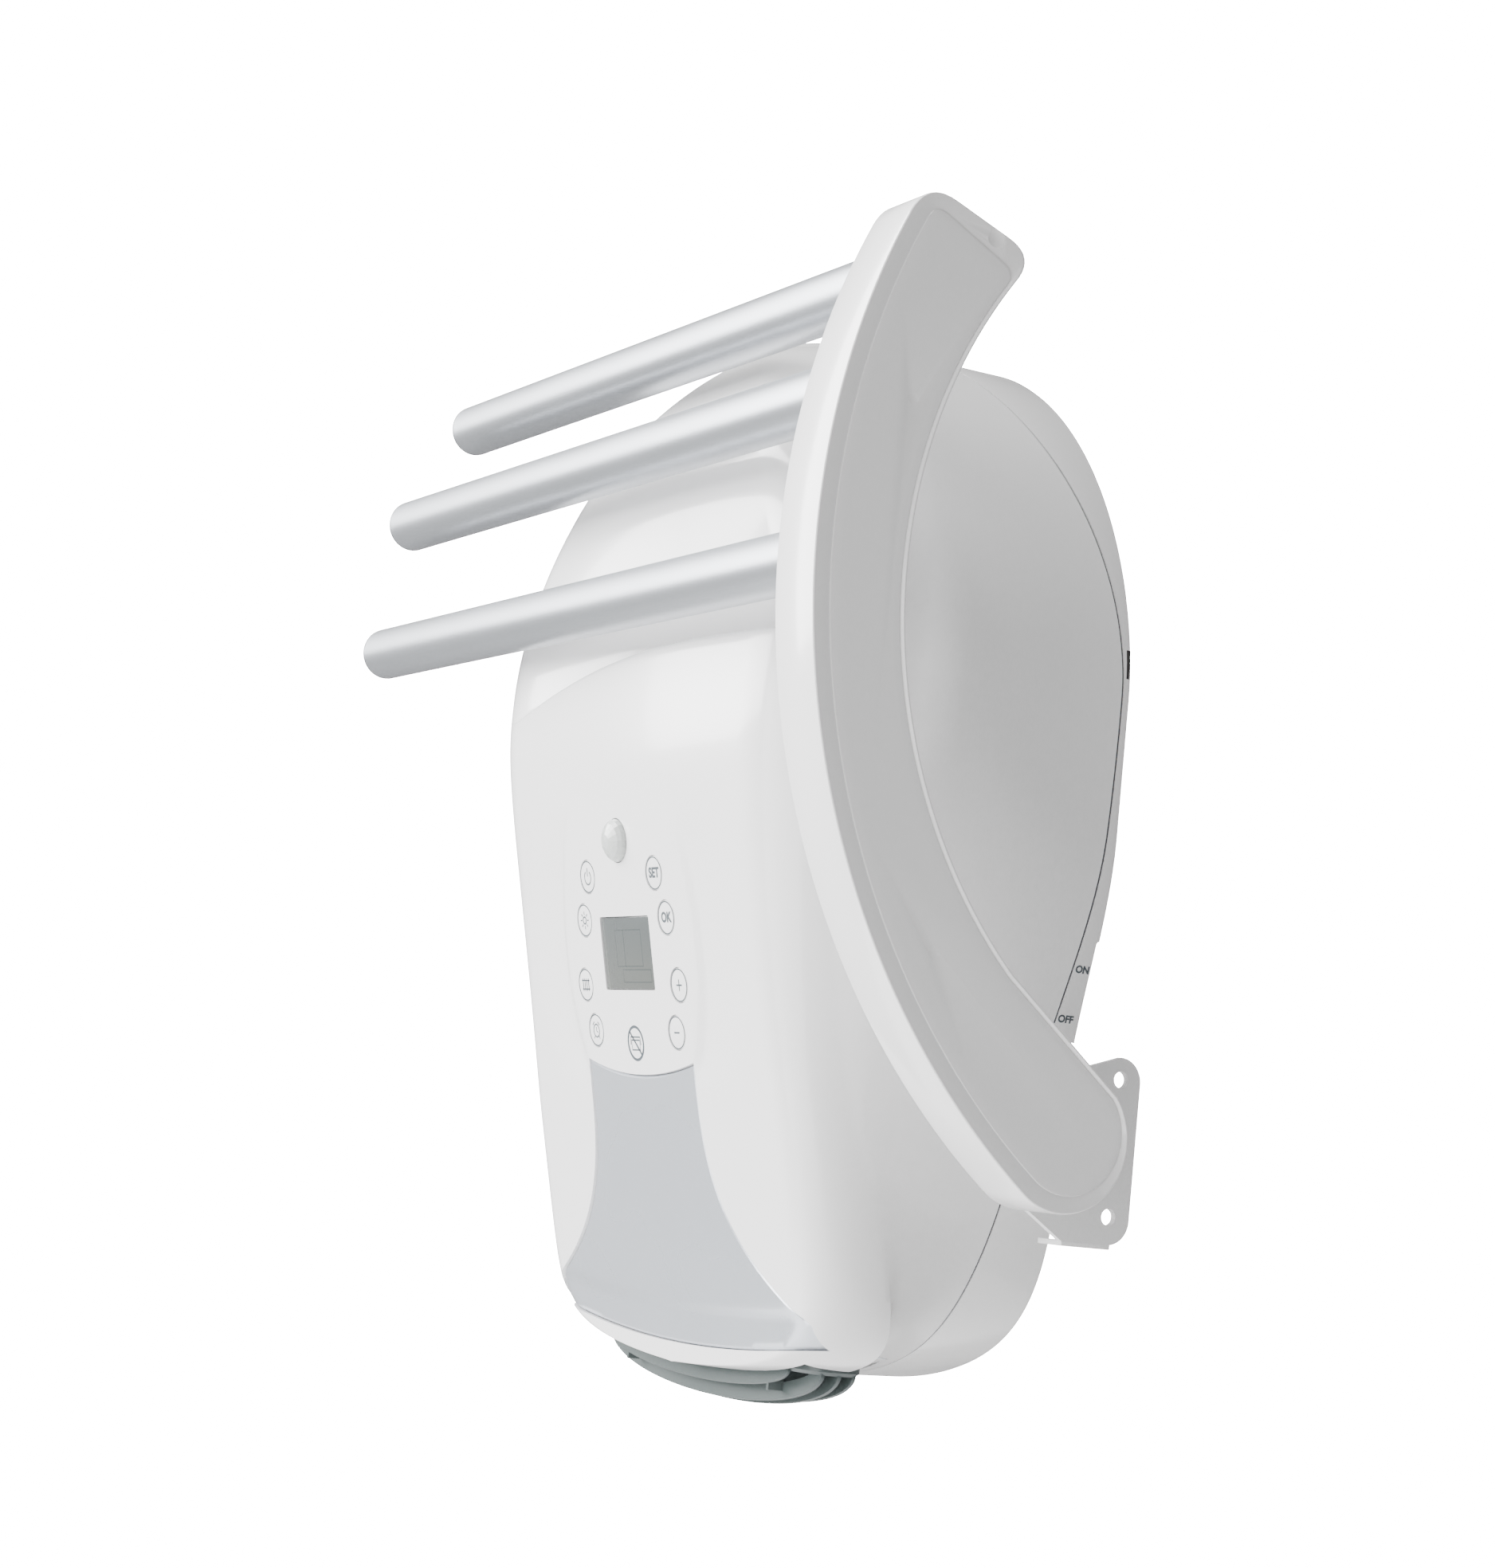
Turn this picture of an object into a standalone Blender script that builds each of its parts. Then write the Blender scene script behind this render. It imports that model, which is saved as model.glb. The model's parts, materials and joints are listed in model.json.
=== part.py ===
"""Wall-mounted bathroom fan heater with a swinging drying rack.

Metres, +Z up.  The wall is the plane Y = 0 and the heater faces -Y.  X is 0 on the
heater's plane of symmetry, and the rack's arm stands on its +X side.
"""
import math
import bmesh
import bpy
from mathutils import Matrix, Vector

MM = 0.001

# Housing: outline seen from the front, and depth from the wall.
HALF_WIDTH = 139 * MM
WIDEST_Z = 35 * MM
TOP_Z = 178 * MM
BOTTOM_Z = -228 * MM
SIDE_TAPER = 0.13
FRONT_Y = -147 * MM
FRONT_LEAN = 0.245
BEND_Z = 20 * MM
BEND_SOFTNESS = 35 * MM
DOME_DEPTH = 90 * MM
CROWN = 0.35
SEAM_Y = -7 * MM
REAR_RIM_Y = -3.5 * MM
BACK_WALL_Y = -6 * MM
WALL = 2.6 * MM
CLEAR = 0.4 * MM

# Scoop above the apron's lip, with the air intake at its foot.
LIP_Z = 41.5 * MM
LIP_CREST_X = 60 * MM
LIP_FALL = (3.1 * MM, 1.2 * MM)
SCOOP_TOP_Z = 108 * MM
SCOOP_DEPTH = 17 * MM
SCOOP_LEFT = (-112 * MM, 20 * MM)
SCOOP_RIGHT = 122 * MM
INTAKE_X = (-20 * MM, 96 * MM)
INTAKE_Z = (59 * MM, 71 * MM)

# Decorative panel under the controls.
PANEL_TOP_Z = -115 * MM
PANEL_FOOT_Z = -213 * MM
PANEL_TOP_HALF = 44.6 * MM
PANEL_FLARE = 71 * MM
PANEL_HALF = 112 * MM
PANEL_RECESS = 1.6 * MM

# Controls: key centres on the front face, seen from the front.
KEY_RADIUS = 6.6 * MM
KEY_TRAVEL = 0.8 * MM
KEYS = {
    "power": (-28.7, -45.0), "lamp": (-35.2, -61.6), "towel": (-40.0, -86.4), "alarm": (-34.5, -103.9),
    "set": (28.7, -45.0), "ok": (35.2, -61.6), "plus": (40.0, -86.4), "minus": (34.5, -103.9),
}
SENSOR_Z = -32 * MM
SENSOR_RADIUS = 8.4 * MM
WINDOW_SIZE = (42 * MM, 28.5 * MM)
WINDOW_Z = -74.5 * MM
PANEL_TILT = math.radians(13)

# Fan, heater and outlet, all centred on X = 0.
FAN_Y, FAN_Z = -66 * MM, -52 * MM
FAN_RADIUS = 27 * MM
FAN_X = (-92 * MM, 78 * MM)
HEATER_Y = -70 * MM
HEATER_Z = (-170 * MM, -146 * MM)
OUTLET_HALF = 88 * MM
OUTLET_Y = (-86 * MM, -54 * MM)

# Rack: arm outline in the YZ plane, bars along X.
PIVOT_Y, PIVOT_Z = -57 * MM, -130.8 * MM
PIVOT_RADIUS = 25.4 * MM
ARM_X = (175 * MM, 201 * MM)
ARM_FRONT_ARC = (92.4 * MM, 61.5 * MM, 268.9 * MM)
ARM_BACK_ARC = (42.5 * MM, 54 * MM, 182.7 * MM)
TIP_FRONT_Z, TIP_BACK_Z = 185 * MM, 168 * MM
BAR_RADIUS = 11 * MM
BAR_END_X = -208 * MM
BARS = {"upper": (-130 * MM, 162.5 * MM), "middle": (-154.7 * MM, 114.5 * MM), "lower": (-160.2 * MM, 56 * MM)}
BRACKET_X = (157.6 * MM, 160.4 * MM)

# Rocker switch in a pocket behind the housing's right edge, reached from the wall side.
SWITCH_Z = -77 * MM
SWITCH_Y = -9 * MM
SWITCH_INSET = 18 * MM

PARTS = "fan_heater_with_drying_rack"
CUTTERS = "cutters"


def clear_scene():
    """Remove every object that is already in the scene."""
    for obj in list(bpy.data.objects):
        bpy.data.objects.remove(obj, do_unlink=True)


def collection(name):
    """Return the scene collection of this name, made on first use."""
    found = bpy.data.collections.get(name)
    if found is None:
        found = bpy.data.collections.new(name)
        bpy.context.scene.collection.children.link(found)
    return found


FINISHES = {
    "gloss_white": ((0.80, 0.79, 0.79), 0.22, 0.0),
    "silver_paint": ((0.55, 0.58, 0.62), 0.32, 0.6),
    "satin_aluminium": ((0.72, 0.73, 0.75), 0.35, 0.9),
    "grille_grey": ((0.075, 0.095, 0.095), 0.45, 0.0),
    "lens_white": ((0.85, 0.86, 0.84), 0.3, 0.0),
    "display_green": ((0.26, 0.29, 0.28), 0.15, 0.0),
    "steel_white": ((0.78, 0.78, 0.78), 0.4, 0.0),
    "zinc_steel": ((0.55, 0.56, 0.58), 0.35, 1.0),
    "board_green": ((0.05, 0.22, 0.10), 0.5, 0.0),
    "black_plastic": ((0.03, 0.03, 0.03), 0.45, 0.0),
    "fan_grey": ((0.16, 0.17, 0.18), 0.5, 0.0),
    "heater_alloy": ((0.60, 0.58, 0.55), 0.4, 0.9),
    "rubber": ((0.05, 0.05, 0.05), 0.8, 0.0),
    "filter_mesh": ((0.10, 0.10, 0.11), 0.7, 0.0),
}


def material(finish):
    """Return the Principled material of a finish, made on first use."""
    mat = bpy.data.materials.get(finish)
    if mat is None:
        mat = bpy.data.materials.new(finish)
        mat.use_nodes = True
        shader = mat.node_tree.nodes["Principled BSDF"]
        colour, rough, metal = FINISHES[finish]
        shader.inputs["Base Color"].default_value = (*colour, 1.0)
        shader.inputs["Roughness"].default_value = rough
        shader.inputs["Metallic"].default_value = metal
    return mat


def add_object(name, mesh, finish=None):
    """Link a mesh as a part when it has a finish, or else as a cutter."""
    obj = bpy.data.objects.new(name, mesh)
    collection(PARTS if finish else CUTTERS).objects.link(obj)
    if finish:
        mesh.materials.append(material(finish))
    else:
        obj.hide_render = True
        obj.display_type = "WIRE"
    return obj


def mesh_from(bm, name):
    """Turn a bmesh into a mesh with outward normals, shaded smooth up to 35 degrees."""
    bmesh.ops.recalc_face_normals(bm, faces=bm.faces)
    mesh = bpy.data.meshes.new(name)
    bm.to_mesh(mesh)
    bm.free()
    mesh.shade_smooth()
    mesh.set_sharp_from_angle(angle=math.radians(35))
    return mesh


def box(name, low, high, finish=None, bevel=0.0):
    """Make a box between two corners, given in metres."""
    bm = bmesh.new()
    low, high = Vector(low), Vector(high)
    size = high - low
    place = Matrix.Translation((low + high) / 2) @ Matrix.Diagonal((*size, 1))
    bmesh.ops.create_cube(bm, size=1, matrix=place)
    obj = add_object(name, mesh_from(bm, name), finish)
    if bevel:
        round_edges(obj, bevel)
    return obj


def cylinder(name, centre, radius, length, axis="X", finish=None, sides=16):
    """Make a cylinder about its centre, along a world axis."""
    bm = bmesh.new()
    turn = {"X": Matrix.Rotation(math.pi / 2, 4, "Y"), "Y": Matrix.Rotation(-math.pi / 2, 4, "X"),
            "Z": Matrix.Identity(4)}[axis]
    bmesh.ops.create_cone(bm, cap_ends=True, segments=sides, radius1=radius,
                          radius2=radius, depth=length,
                          matrix=Matrix.Translation(centre) @ turn)
    return add_object(name, mesh_from(bm, name), finish)


def prism(name, outline, x_low, x_high, finish=None):
    """Extrude a closed outline of (y, z) points along X."""
    bm = bmesh.new()
    face = bm.faces.new([bm.verts.new((x_low, y, z)) for y, z in outline])
    pushed = bmesh.ops.extrude_face_region(bm, geom=[face])
    moved = [item for item in pushed["geom"] if isinstance(item, bmesh.types.BMVert)]
    bmesh.ops.translate(bm, verts=moved, vec=(x_high - x_low, 0, 0))
    return add_object(name, mesh_from(bm, name), finish)


def grid(name, rows, finish=None, merge=0.0):
    """Join rows of points into an open quad sheet."""
    bm = bmesh.new()
    verts = [[bm.verts.new(point) for point in row] for row in rows]
    for lower, upper in zip(verts, verts[1:]):
        for left in range(len(lower) - 1):
            bm.faces.new((lower[left], lower[left + 1], upper[left + 1], upper[left]))
    if merge:
        bmesh.ops.remove_doubles(bm, verts=bm.verts, dist=merge)
    mesh = bpy.data.meshes.new(name)
    bm.to_mesh(mesh)
    bm.free()
    mesh.shade_smooth()
    mesh.set_sharp_from_angle(angle=math.radians(35))
    return add_object(name, mesh, finish)


def thicken(obj, thickness, offset=-1.0):
    """Give an open sheet a wall; offset -1 puts it behind the sheet's face."""
    wall = obj.modifiers.new("wall", "SOLIDIFY")
    wall.thickness = thickness
    wall.offset = offset
    return obj


def round_edges(obj, width, segments=2, angle=40):
    """Round every edge sharper than an angle in degrees."""
    bevel = obj.modifiers.new("round", "BEVEL")
    bevel.width = width
    bevel.segments = segments
    bevel.limit_method = "ANGLE"
    bevel.angle_limit = math.radians(angle)
    return obj


def combine(obj, other, operation="DIFFERENCE"):
    """Cut another object out of this one, or join it on."""
    step = obj.modifiers.new(other.name, "BOOLEAN")
    step.operation = operation
    step.solver = "EXACT"
    step.object = other
    return obj


def child_of(name, location, parts):
    """Parent parts to an empty that stands on their joint's axis."""
    empty = bpy.data.objects.new(name, None)
    empty.location = location
    collection(PARTS).objects.link(empty)
    for part in parts:
        part.parent = empty
        part.matrix_parent_inverse = Matrix.Translation(-Vector(location))


def smooth(value):
    """Ease from 0 to 1."""
    t = min(max(value, 0.0), 1.0)
    return t * t * (3 - 2 * t)


def blend(a, b, t):
    """Go from a to b as t goes from 0 to 1."""
    return a + (b - a) * t


# ---- Housing surface ---------------------------------------------------------------

def half_width(z, y):
    """Half the housing's width at a height; the foot is squarer in front than at the wall."""
    if z >= WIDEST_Z:
        t = min((z - WIDEST_Z) / (TOP_Z - WIDEST_Z), 1.0)
        return HALF_WIDTH * (1 - t ** 1.75) ** 0.526
    t = min((WIDEST_Z - z) / (WIDEST_Z - BOTTOM_Z), 1.0)
    rear = (1 - t ** 11) ** 0.556
    front = (1 - t ** 30) ** 0.5
    taper = 1 - SIDE_TAPER * smooth(t / 0.6)
    return HALF_WIDTH * taper * blend(front, rear, smooth((y + 0.100) / 0.095))


def front_line(z):
    """Depth of the front face on the plane of symmetry."""
    if z > BEND_Z:
        t = min((z - BEND_Z) / (TOP_Z - BEND_Z), 1.0)
        return FRONT_Y + DOME_DEPTH * (1 - (1 - t * t) ** 0.357)
    fall = BEND_Z - z
    return FRONT_Y + FRONT_LEAN * (math.hypot(fall, BEND_SOFTNESS) - BEND_SOFTNESS)


def seam_line(z):
    """Depth of the joint between the front and rear shells."""
    rise = z - 30 * MM
    return SEAM_Y - (1.65 if rise > 0 else 0.6) * rise * rise


def corner_size(z):
    """Width and depth of the rounding between the front and the sides."""
    t = smooth((z + 0.140) / 0.140)
    wide = min(blend(23, 40, t) * MM, half_width(z, FRONT_Y))
    deep = min(blend(26, 50, t) * MM, 0.92 * (seam_line(z) - front_line(z)))
    return wide, deep


def front_surface(x, z):
    """Depth of the front face at a point seen from the front."""
    wide, deep = corner_size(z)
    past = abs(x) - (half_width(z, FRONT_Y) - wide)
    turn = 0.0
    if past > 0:
        turn = deep * (1 - math.sqrt(max(0.0, 1 - min(past / wide, 1.0) ** 2)))
    return front_line(z) + CROWN * x * x + turn


def lip_drop(x):
    """How far the lip has fallen below its crest, which is right of the middle."""
    away = (LIP_CREST_X - x) / LIP_CREST_X
    return LIP_FALL[0 if away > 0 else 1] * away * away


def scoop(z0, x):
    """How far the scoop above the lip is sunk below the plain front face; it runs out to the left."""
    if z0 <= LIP_Z:
        return 0.0
    start, full = SCOOP_LEFT
    fade = smooth((x - start) / (full - start)) * max(0.0, 1 - (max(x, 0.0) / SCOOP_RIGHT) ** 4)
    return SCOOP_DEPTH * fade * max(0.0, 1 - (z0 - LIP_Z) / (SCOOP_TOP_Z - LIP_Z))


FACE_STEPS, CORNER_STEPS, SIDE_STEPS = 5, 4, 1


def section(z0):
    """One row of the front shell, from the left seam round the front to the right seam."""
    last = FACE_STEPS + CORNER_STEPS + SIDE_STEPS
    near = max(0.0, 1 - abs(z0 - LIP_Z) / (70 * MM))
    row = []
    for signed in range(-last, last + 1):
        side, step = math.copysign(1, signed), abs(signed)
        spread = min(step / FACE_STEPS, 1.0)
        z = z0 - near * lip_drop(side * spread * (HALF_WIDTH - 40 * MM))
        wide, deep = corner_size(z)
        width = half_width(z, FRONT_Y)
        if step <= FACE_STEPS:
            x = (width - wide) * spread
            y = front_line(z)
        elif step <= FACE_STEPS + CORNER_STEPS:
            angle = math.pi / 2 * (step - FACE_STEPS) / CORNER_STEPS
            x = width - wide + wide * math.sin(angle)
            y = front_line(z) + deep * (1 - math.cos(angle))
        else:
            t = (step - FACE_STEPS - CORNER_STEPS) / SIDE_STEPS
            y = blend(front_line(z) + deep, seam_line(z) - CLEAR, t)
            x = half_width(z, y)
        inward = smooth((y - front_line(z) - deep) / max(seam_line(z) - front_line(z) - deep, MM))
        y += CROWN * x * x * (1 - inward) + scoop(z0, side * x)
        row.append((side * x, min(y, seam_line(z) - CLEAR), z))
    return row


def shell_levels():
    """Heights of the front shell's rows, closest together at the foot and the crown."""
    foot = [BOTTOM_Z + 36 * MM * (1 - math.cos(math.pi / 2 * k / 5)) for k in range(6)]
    flank = [z * MM for z in (-150, -110, -70, -30, 10)]
    rim = [LIP_Z, LIP_Z + 0.6 * MM]
    hollow = [z * MM for z in (78, 110)]
    crown = [TOP_Z - 48 * MM * (1 - math.cos(math.pi / 2 * k / 5)) for k in range(5, -1, -1)]
    return foot + flank + rim + hollow + crown


def on_face(x, z, depth=0.0):
    """A point on the control area, moved inwards along the tilted face's own normal."""
    y = front_surface(x, z)
    return Vector((x, y + depth * math.cos(PANEL_TILT), z + depth * math.sin(PANEL_TILT)))


def tilt(obj, origin):
    """Lean an object that was made upright, facing -Y, back by the control area's tilt."""
    obj.matrix_world = Matrix.Translation(origin) @ Matrix.Rotation(PANEL_TILT, 4, "X")
    return obj


def panel_rows(grow, sink):
    """Rows of the decorative panel: a flaring sheet that follows the front face."""
    rows = []
    count = 8
    for k in range(count + 1):
        v = k / count
        z0 = blend(PANEL_FOOT_Z, PANEL_TOP_Z, v)
        t = (PANEL_TOP_Z - z0) / (PANEL_TOP_Z - PANEL_FOOT_Z)
        width = min(PANEL_TOP_HALF + PANEL_FLARE * t ** 3.2, PANEL_HALF) + grow * (1 + 2 * t * t)
        row = []
        for c in range(-6, 7):
            c /= 6
            x = c * width
            z = z0 - (1 - c * c) * (5.5 * MM * v ** 4 + 7 * MM * (1 - v) ** 4)
            z += grow if k == count else -grow if k == 0 else 0.0
            row.append((x, front_surface(x, z) + sink, z))
        rows.append(row)
    return rows


def make_front_shell():
    """Front shell, with its intake, key, window, sensor, panel and outlet openings."""
    rows = [section(z) for z in shell_levels()]
    shell = thicken(grid("front_shell", rows, "gloss_white", merge=0.00005), WALL)
    cuts = [thicken(grid("panel_cut", panel_rows(CLEAR, PANEL_RECESS)), 18 * MM, offset=0.0)]
    cuts.append(box("intake_cut", (INTAKE_X[0], FRONT_Y - 0.01, INTAKE_Z[0]),
                    (INTAKE_X[1], FRONT_Y + 0.045, INTAKE_Z[1])))
    width, height = WINDOW_SIZE
    window = box("window_cut", (-width / 2, -0.012, -height / 2), (width / 2, 0.012, height / 2))
    cuts.append(tilt(window, on_face(0, WINDOW_Z)))
    hole = cylinder("sensor_cut", (0, 0, 0), SENSOR_RADIUS + CLEAR, 0.02, "Y")
    cuts.append(tilt(hole, on_face(0, SENSOR_Z)))
    for name, (x, z) in KEYS.items():
        hole = cylinder(name + "_cut", (0, 0, 0), KEY_RADIUS + CLEAR, 0.016, "Y", sides=20)
        cuts.append(tilt(hole, on_face(x * MM, z * MM)))
    cuts.append(box("outlet_cut", (-OUTLET_HALF - CLEAR, OUTLET_Y[0] - CLEAR, BOTTOM_Z - 0.01),
                    (OUTLET_HALF + CLEAR, OUTLET_Y[1] + CLEAR, BOTTOM_Z + 0.014)))
    for cutter in cuts:
        combine(shell, cutter)
    return shell


def outline_ring(inset, y_of, count=40):
    """A closed ring of points round the housing, seen from the front."""
    ring = []
    for k in range(count):
        angle = 2 * math.pi * k / count
        reach = math.sin(angle)
        z_mid, z_half = (TOP_Z + BOTTOM_Z) / 2, (TOP_Z - BOTTOM_Z) / 2
        z = z_mid + z_half * reach
        y = y_of(z)
        x = math.copysign(half_width(z, y), math.cos(angle)) if abs(math.cos(angle)) > 1e-6 else 0.0
        shrink = 1 - inset / HALF_WIDTH
        ring.append((x * shrink, y, z_mid + (z - z_mid) * (1 - inset / z_half)))
    return ring


def make_rear_shell():
    """Rear shell: a band from the seam to the rim, closed by the back wall."""
    rings = [outline_ring(0, seam_line), outline_ring(0, lambda z: REAR_RIM_Y - 2 * MM),
             outline_ring(1.5 * MM, lambda z: REAR_RIM_Y),
             outline_ring(12 * MM, lambda z: REAR_RIM_Y), outline_ring(14 * MM, lambda z: BACK_WALL_Y)]
    bm = bmesh.new()
    loops = [[bm.verts.new(point) for point in ring] for ring in rings]
    for near, far in zip(loops, loops[1:]):
        for k, vert in enumerate(near):
            after = (k + 1) % len(near)
            bm.faces.new((vert, near[after], far[after], far[k]))
    bm.faces.new(loops[-1])
    bmesh.ops.recalc_face_normals(bm, faces=bm.faces)
    if max(bm.faces, key=lambda face: face.calc_area()).normal.y < 0:
        bmesh.ops.reverse_faces(bm, faces=bm.faces)
    mesh = bpy.data.meshes.new("rear_shell")
    bm.to_mesh(mesh)
    bm.free()
    mesh.shade_smooth()
    mesh.set_sharp_from_angle(angle=math.radians(35))
    shell = thicken(add_object("rear_shell", mesh, "gloss_white"), WALL)
    side = half_width(SWITCH_Z, SWITCH_Y)
    cuts = [
        box("switch_pocket", (side - SWITCH_INSET - 21 * MM, SWITCH_Y - 5 * MM, SWITCH_Z - 20.4 * MM),
            (side - 4 * MM, 2 * MM, SWITCH_Z + 20.4 * MM)),
        box("finger_notch", (side - 6 * MM, -5.4 * MM, SWITCH_Z - 20.4 * MM),
            (side + 10 * MM, 2 * MM, SWITCH_Z + 20.4 * MM)),
        box("side_slot_cut", (side - 4 * MM, -6.2 * MM, 40.8 * MM), (side + 30 * MM, -3.9 * MM, 51.8 * MM)),
        box("hook_cut_left", (-46 * MM, -0.02, 60 * MM), (-24 * MM, 0, 70 * MM)),
        box("hook_cut_right", (24 * MM, -0.02, 60 * MM), (46 * MM, 0, 70 * MM)),
        cylinder("grommet_cut", (-60 * MM, BACK_WALL_Y, -120 * MM), 8 * MM, 0.03, "Y"),
    ]
    for cutter in cuts:
        combine(shell, cutter)
    return shell


def make_housing():
    """The shells and what closes their openings."""
    make_front_shell()
    make_rear_shell()
    thicken(grid("decor_panel", panel_rows(0, PANEL_RECESS), "silver_paint"), 2.2 * MM)
    make_outlet_grille()
    make_intake()
    make_wall_plate()
    for name, x in (("left", -60 * MM), ("right", 60 * MM)):
        cylinder("shell_screw_" + name, (x, -16 * MM, -190 * MM), 3.2 * MM, 9 * MM, "Y", "zinc_steel", 12)


def ring_cut(name, x_range, y_range, z_range, wall):
    """A box cutter that leaves a wall round it in X and Y and runs out in Z."""
    return box(name, (x_range[0] + wall, y_range[0] + wall, z_range[0] - 0.01),
               (x_range[1] - wall, y_range[1] - wall, z_range[1] + 0.01))


def make_outlet_grille():
    """Outlet grille: a shallow boat-shaped body with three long slots in three bays."""
    bm = bmesh.new()
    place = Matrix.Translation((0, sum(OUTLET_Y) / 2, BOTTOM_Z + 5 * MM))
    bmesh.ops.create_uvsphere(bm, u_segments=20, v_segments=10, radius=1.0,
                              matrix=place @ Matrix.Diagonal((OUTLET_HALF, 15.6 * MM, 17 * MM, 1)))
    bmesh.ops.bisect_plane(bm, geom=bm.verts[:] + bm.edges[:] + bm.faces[:], dist=1e-6,
                           plane_co=place.translation, plane_no=(0, 0, 1), clear_outer=True)
    bmesh.ops.holes_fill(bm, edges=bm.edges, sides=0)
    grille = add_object("outlet_grille", mesh_from(bm, "outlet_grille"), "grille_grey")
    for row in (-8, 0, 8):
        for bay, half in ((-1, 24), (0, 27), (1, 24)):
            x = bay * 55 * MM
            y = sum(OUTLET_Y) / 2 + row * MM
            reach = half * MM * (1.0 if row == 0 or bay == 0 else 0.8)
            x -= math.copysign(half * MM - reach, bay) if bay else 0.0
            combine(grille, box(f"slot_{row}_{bay}", (x - reach, y - 2.6 * MM, BOTTOM_Z - 0.03),
                                (x + reach, y + 2.6 * MM, BOTTOM_Z + 0.02)))
    duct_x = (-OUTLET_HALF, OUTLET_HALF)
    duct_z = (BOTTOM_Z + 15 * MM, HEATER_Z[0] - 1.5 * MM)
    duct_y = (OUTLET_Y[0] + 1.5 * MM, OUTLET_Y[1])
    duct = box("outlet_duct", (duct_x[0], duct_y[0], duct_z[0]), (duct_x[1], duct_y[1], duct_z[1]),
               "black_plastic")
    combine(duct, ring_cut("duct_cut", duct_x, duct_y, duct_z, 2 * MM))


def make_intake():
    """Intake grille in the foot of the scoop, with a dust filter behind it."""
    left, right = INTAKE_X
    low, high = INTAKE_Z[0] + CLEAR, INTAKE_Z[1] - CLEAR
    y = front_line(LIP_Z) + SCOOP_DEPTH - 1 * MM
    grille = box("intake_grille", (left + CLEAR, y, low), (right - CLEAR, y + 3 * MM, high), "gloss_white")
    bays = 10
    pitch = (right - left - 8 * MM) / bays
    for k in range(bays):
        x = left + 4 * MM + k * pitch
        combine(grille, box(f"intake_bay_{k}", (x + 1 * MM, y - 0.01, low + 2 * MM),
                            (x + pitch - 1 * MM, y + 0.01, high - 2 * MM)))
    box("dust_filter", (left - 4 * MM, y + 6 * MM, low - 4 * MM),
        (right + 4 * MM, y + 9 * MM, high + 4 * MM), "filter_mesh")


def make_wall_plate():
    """Steel plate on the wall with two hooks that the rear shell hangs on."""
    plate = box("wall_plate", (-75 * MM, -2 * MM, -55 * MM), (75 * MM, 0, 85 * MM), "zinc_steel")
    for side in (-1, 1):
        x = side * 35 * MM
        foot = box(f"hook_foot_{side}", (x - 9 * MM, -11.5 * MM, 61 * MM), (x + 9 * MM, -1 * MM, 63.5 * MM))
        lip = box(f"hook_lip_{side}", (x - 9 * MM, -11.5 * MM, 61 * MM), (x + 9 * MM, -9.5 * MM, 69 * MM))
        combine(plate, foot, "UNION")
        combine(plate, lip, "UNION")
        for z in (-35 * MM, 40 * MM):
            combine(plate, cylinder(f"fix_{side}_{z:.3f}", (side * 55 * MM, 0, z), 3 * MM, 0.02, "Y"))
    cylinder("cable_grommet", (-60 * MM, BACK_WALL_Y - 1.3 * MM, -120 * MM), 7.6 * MM, 7 * MM, "Y", "rubber")
    combine(bpy.data.objects["cable_grommet"],
            cylinder("cable_way", (-60 * MM, BACK_WALL_Y, -120 * MM), 4 * MM, 0.04, "Y"))


# ---- Controls ----------------------------------------------------------------------

def turned(name, profile, finish, sides=12):
    """Turn a profile of (radius, depth) pairs, back to front, about the local Y axis."""
    bm = bmesh.new()
    verts = [bm.verts.new((r, y, 0)) for r, y in profile]
    for first, second in zip(verts, verts[1:]):
        bm.edges.new((first, second))
    mesh = bpy.data.meshes.new(name)
    bm.to_mesh(mesh)
    bm.free()
    obj = add_object(name, mesh, finish)
    turn = obj.modifiers.new("turn", "SCREW")
    turn.axis = "Y"
    turn.steps = turn.render_steps = sides
    turn.use_merge_vertices = True
    turn.merge_threshold = 0.00001
    return obj


def make_keys():
    """Eight captive keys, flush with the face, each sliding along the face's normal."""
    stem, flange = 2.5 * MM, 7.8 * MM
    stem_end = 6.2 * MM - KEY_TRAVEL
    profile = [(0, stem_end), (stem, stem_end), (stem, 4.4 * MM), (flange, 4.4 * MM), (flange, 3.3 * MM),
               (KEY_RADIUS, 3.3 * MM), (KEY_RADIUS, 0.3 * MM), (KEY_RADIUS - 0.4 * MM, 0), (0, 0)]
    for name, (x, z) in KEYS.items():
        key = turned("key_" + name, profile, "gloss_white")
        tilt(key, on_face(x * MM, z * MM, 0.1 * MM))


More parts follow.
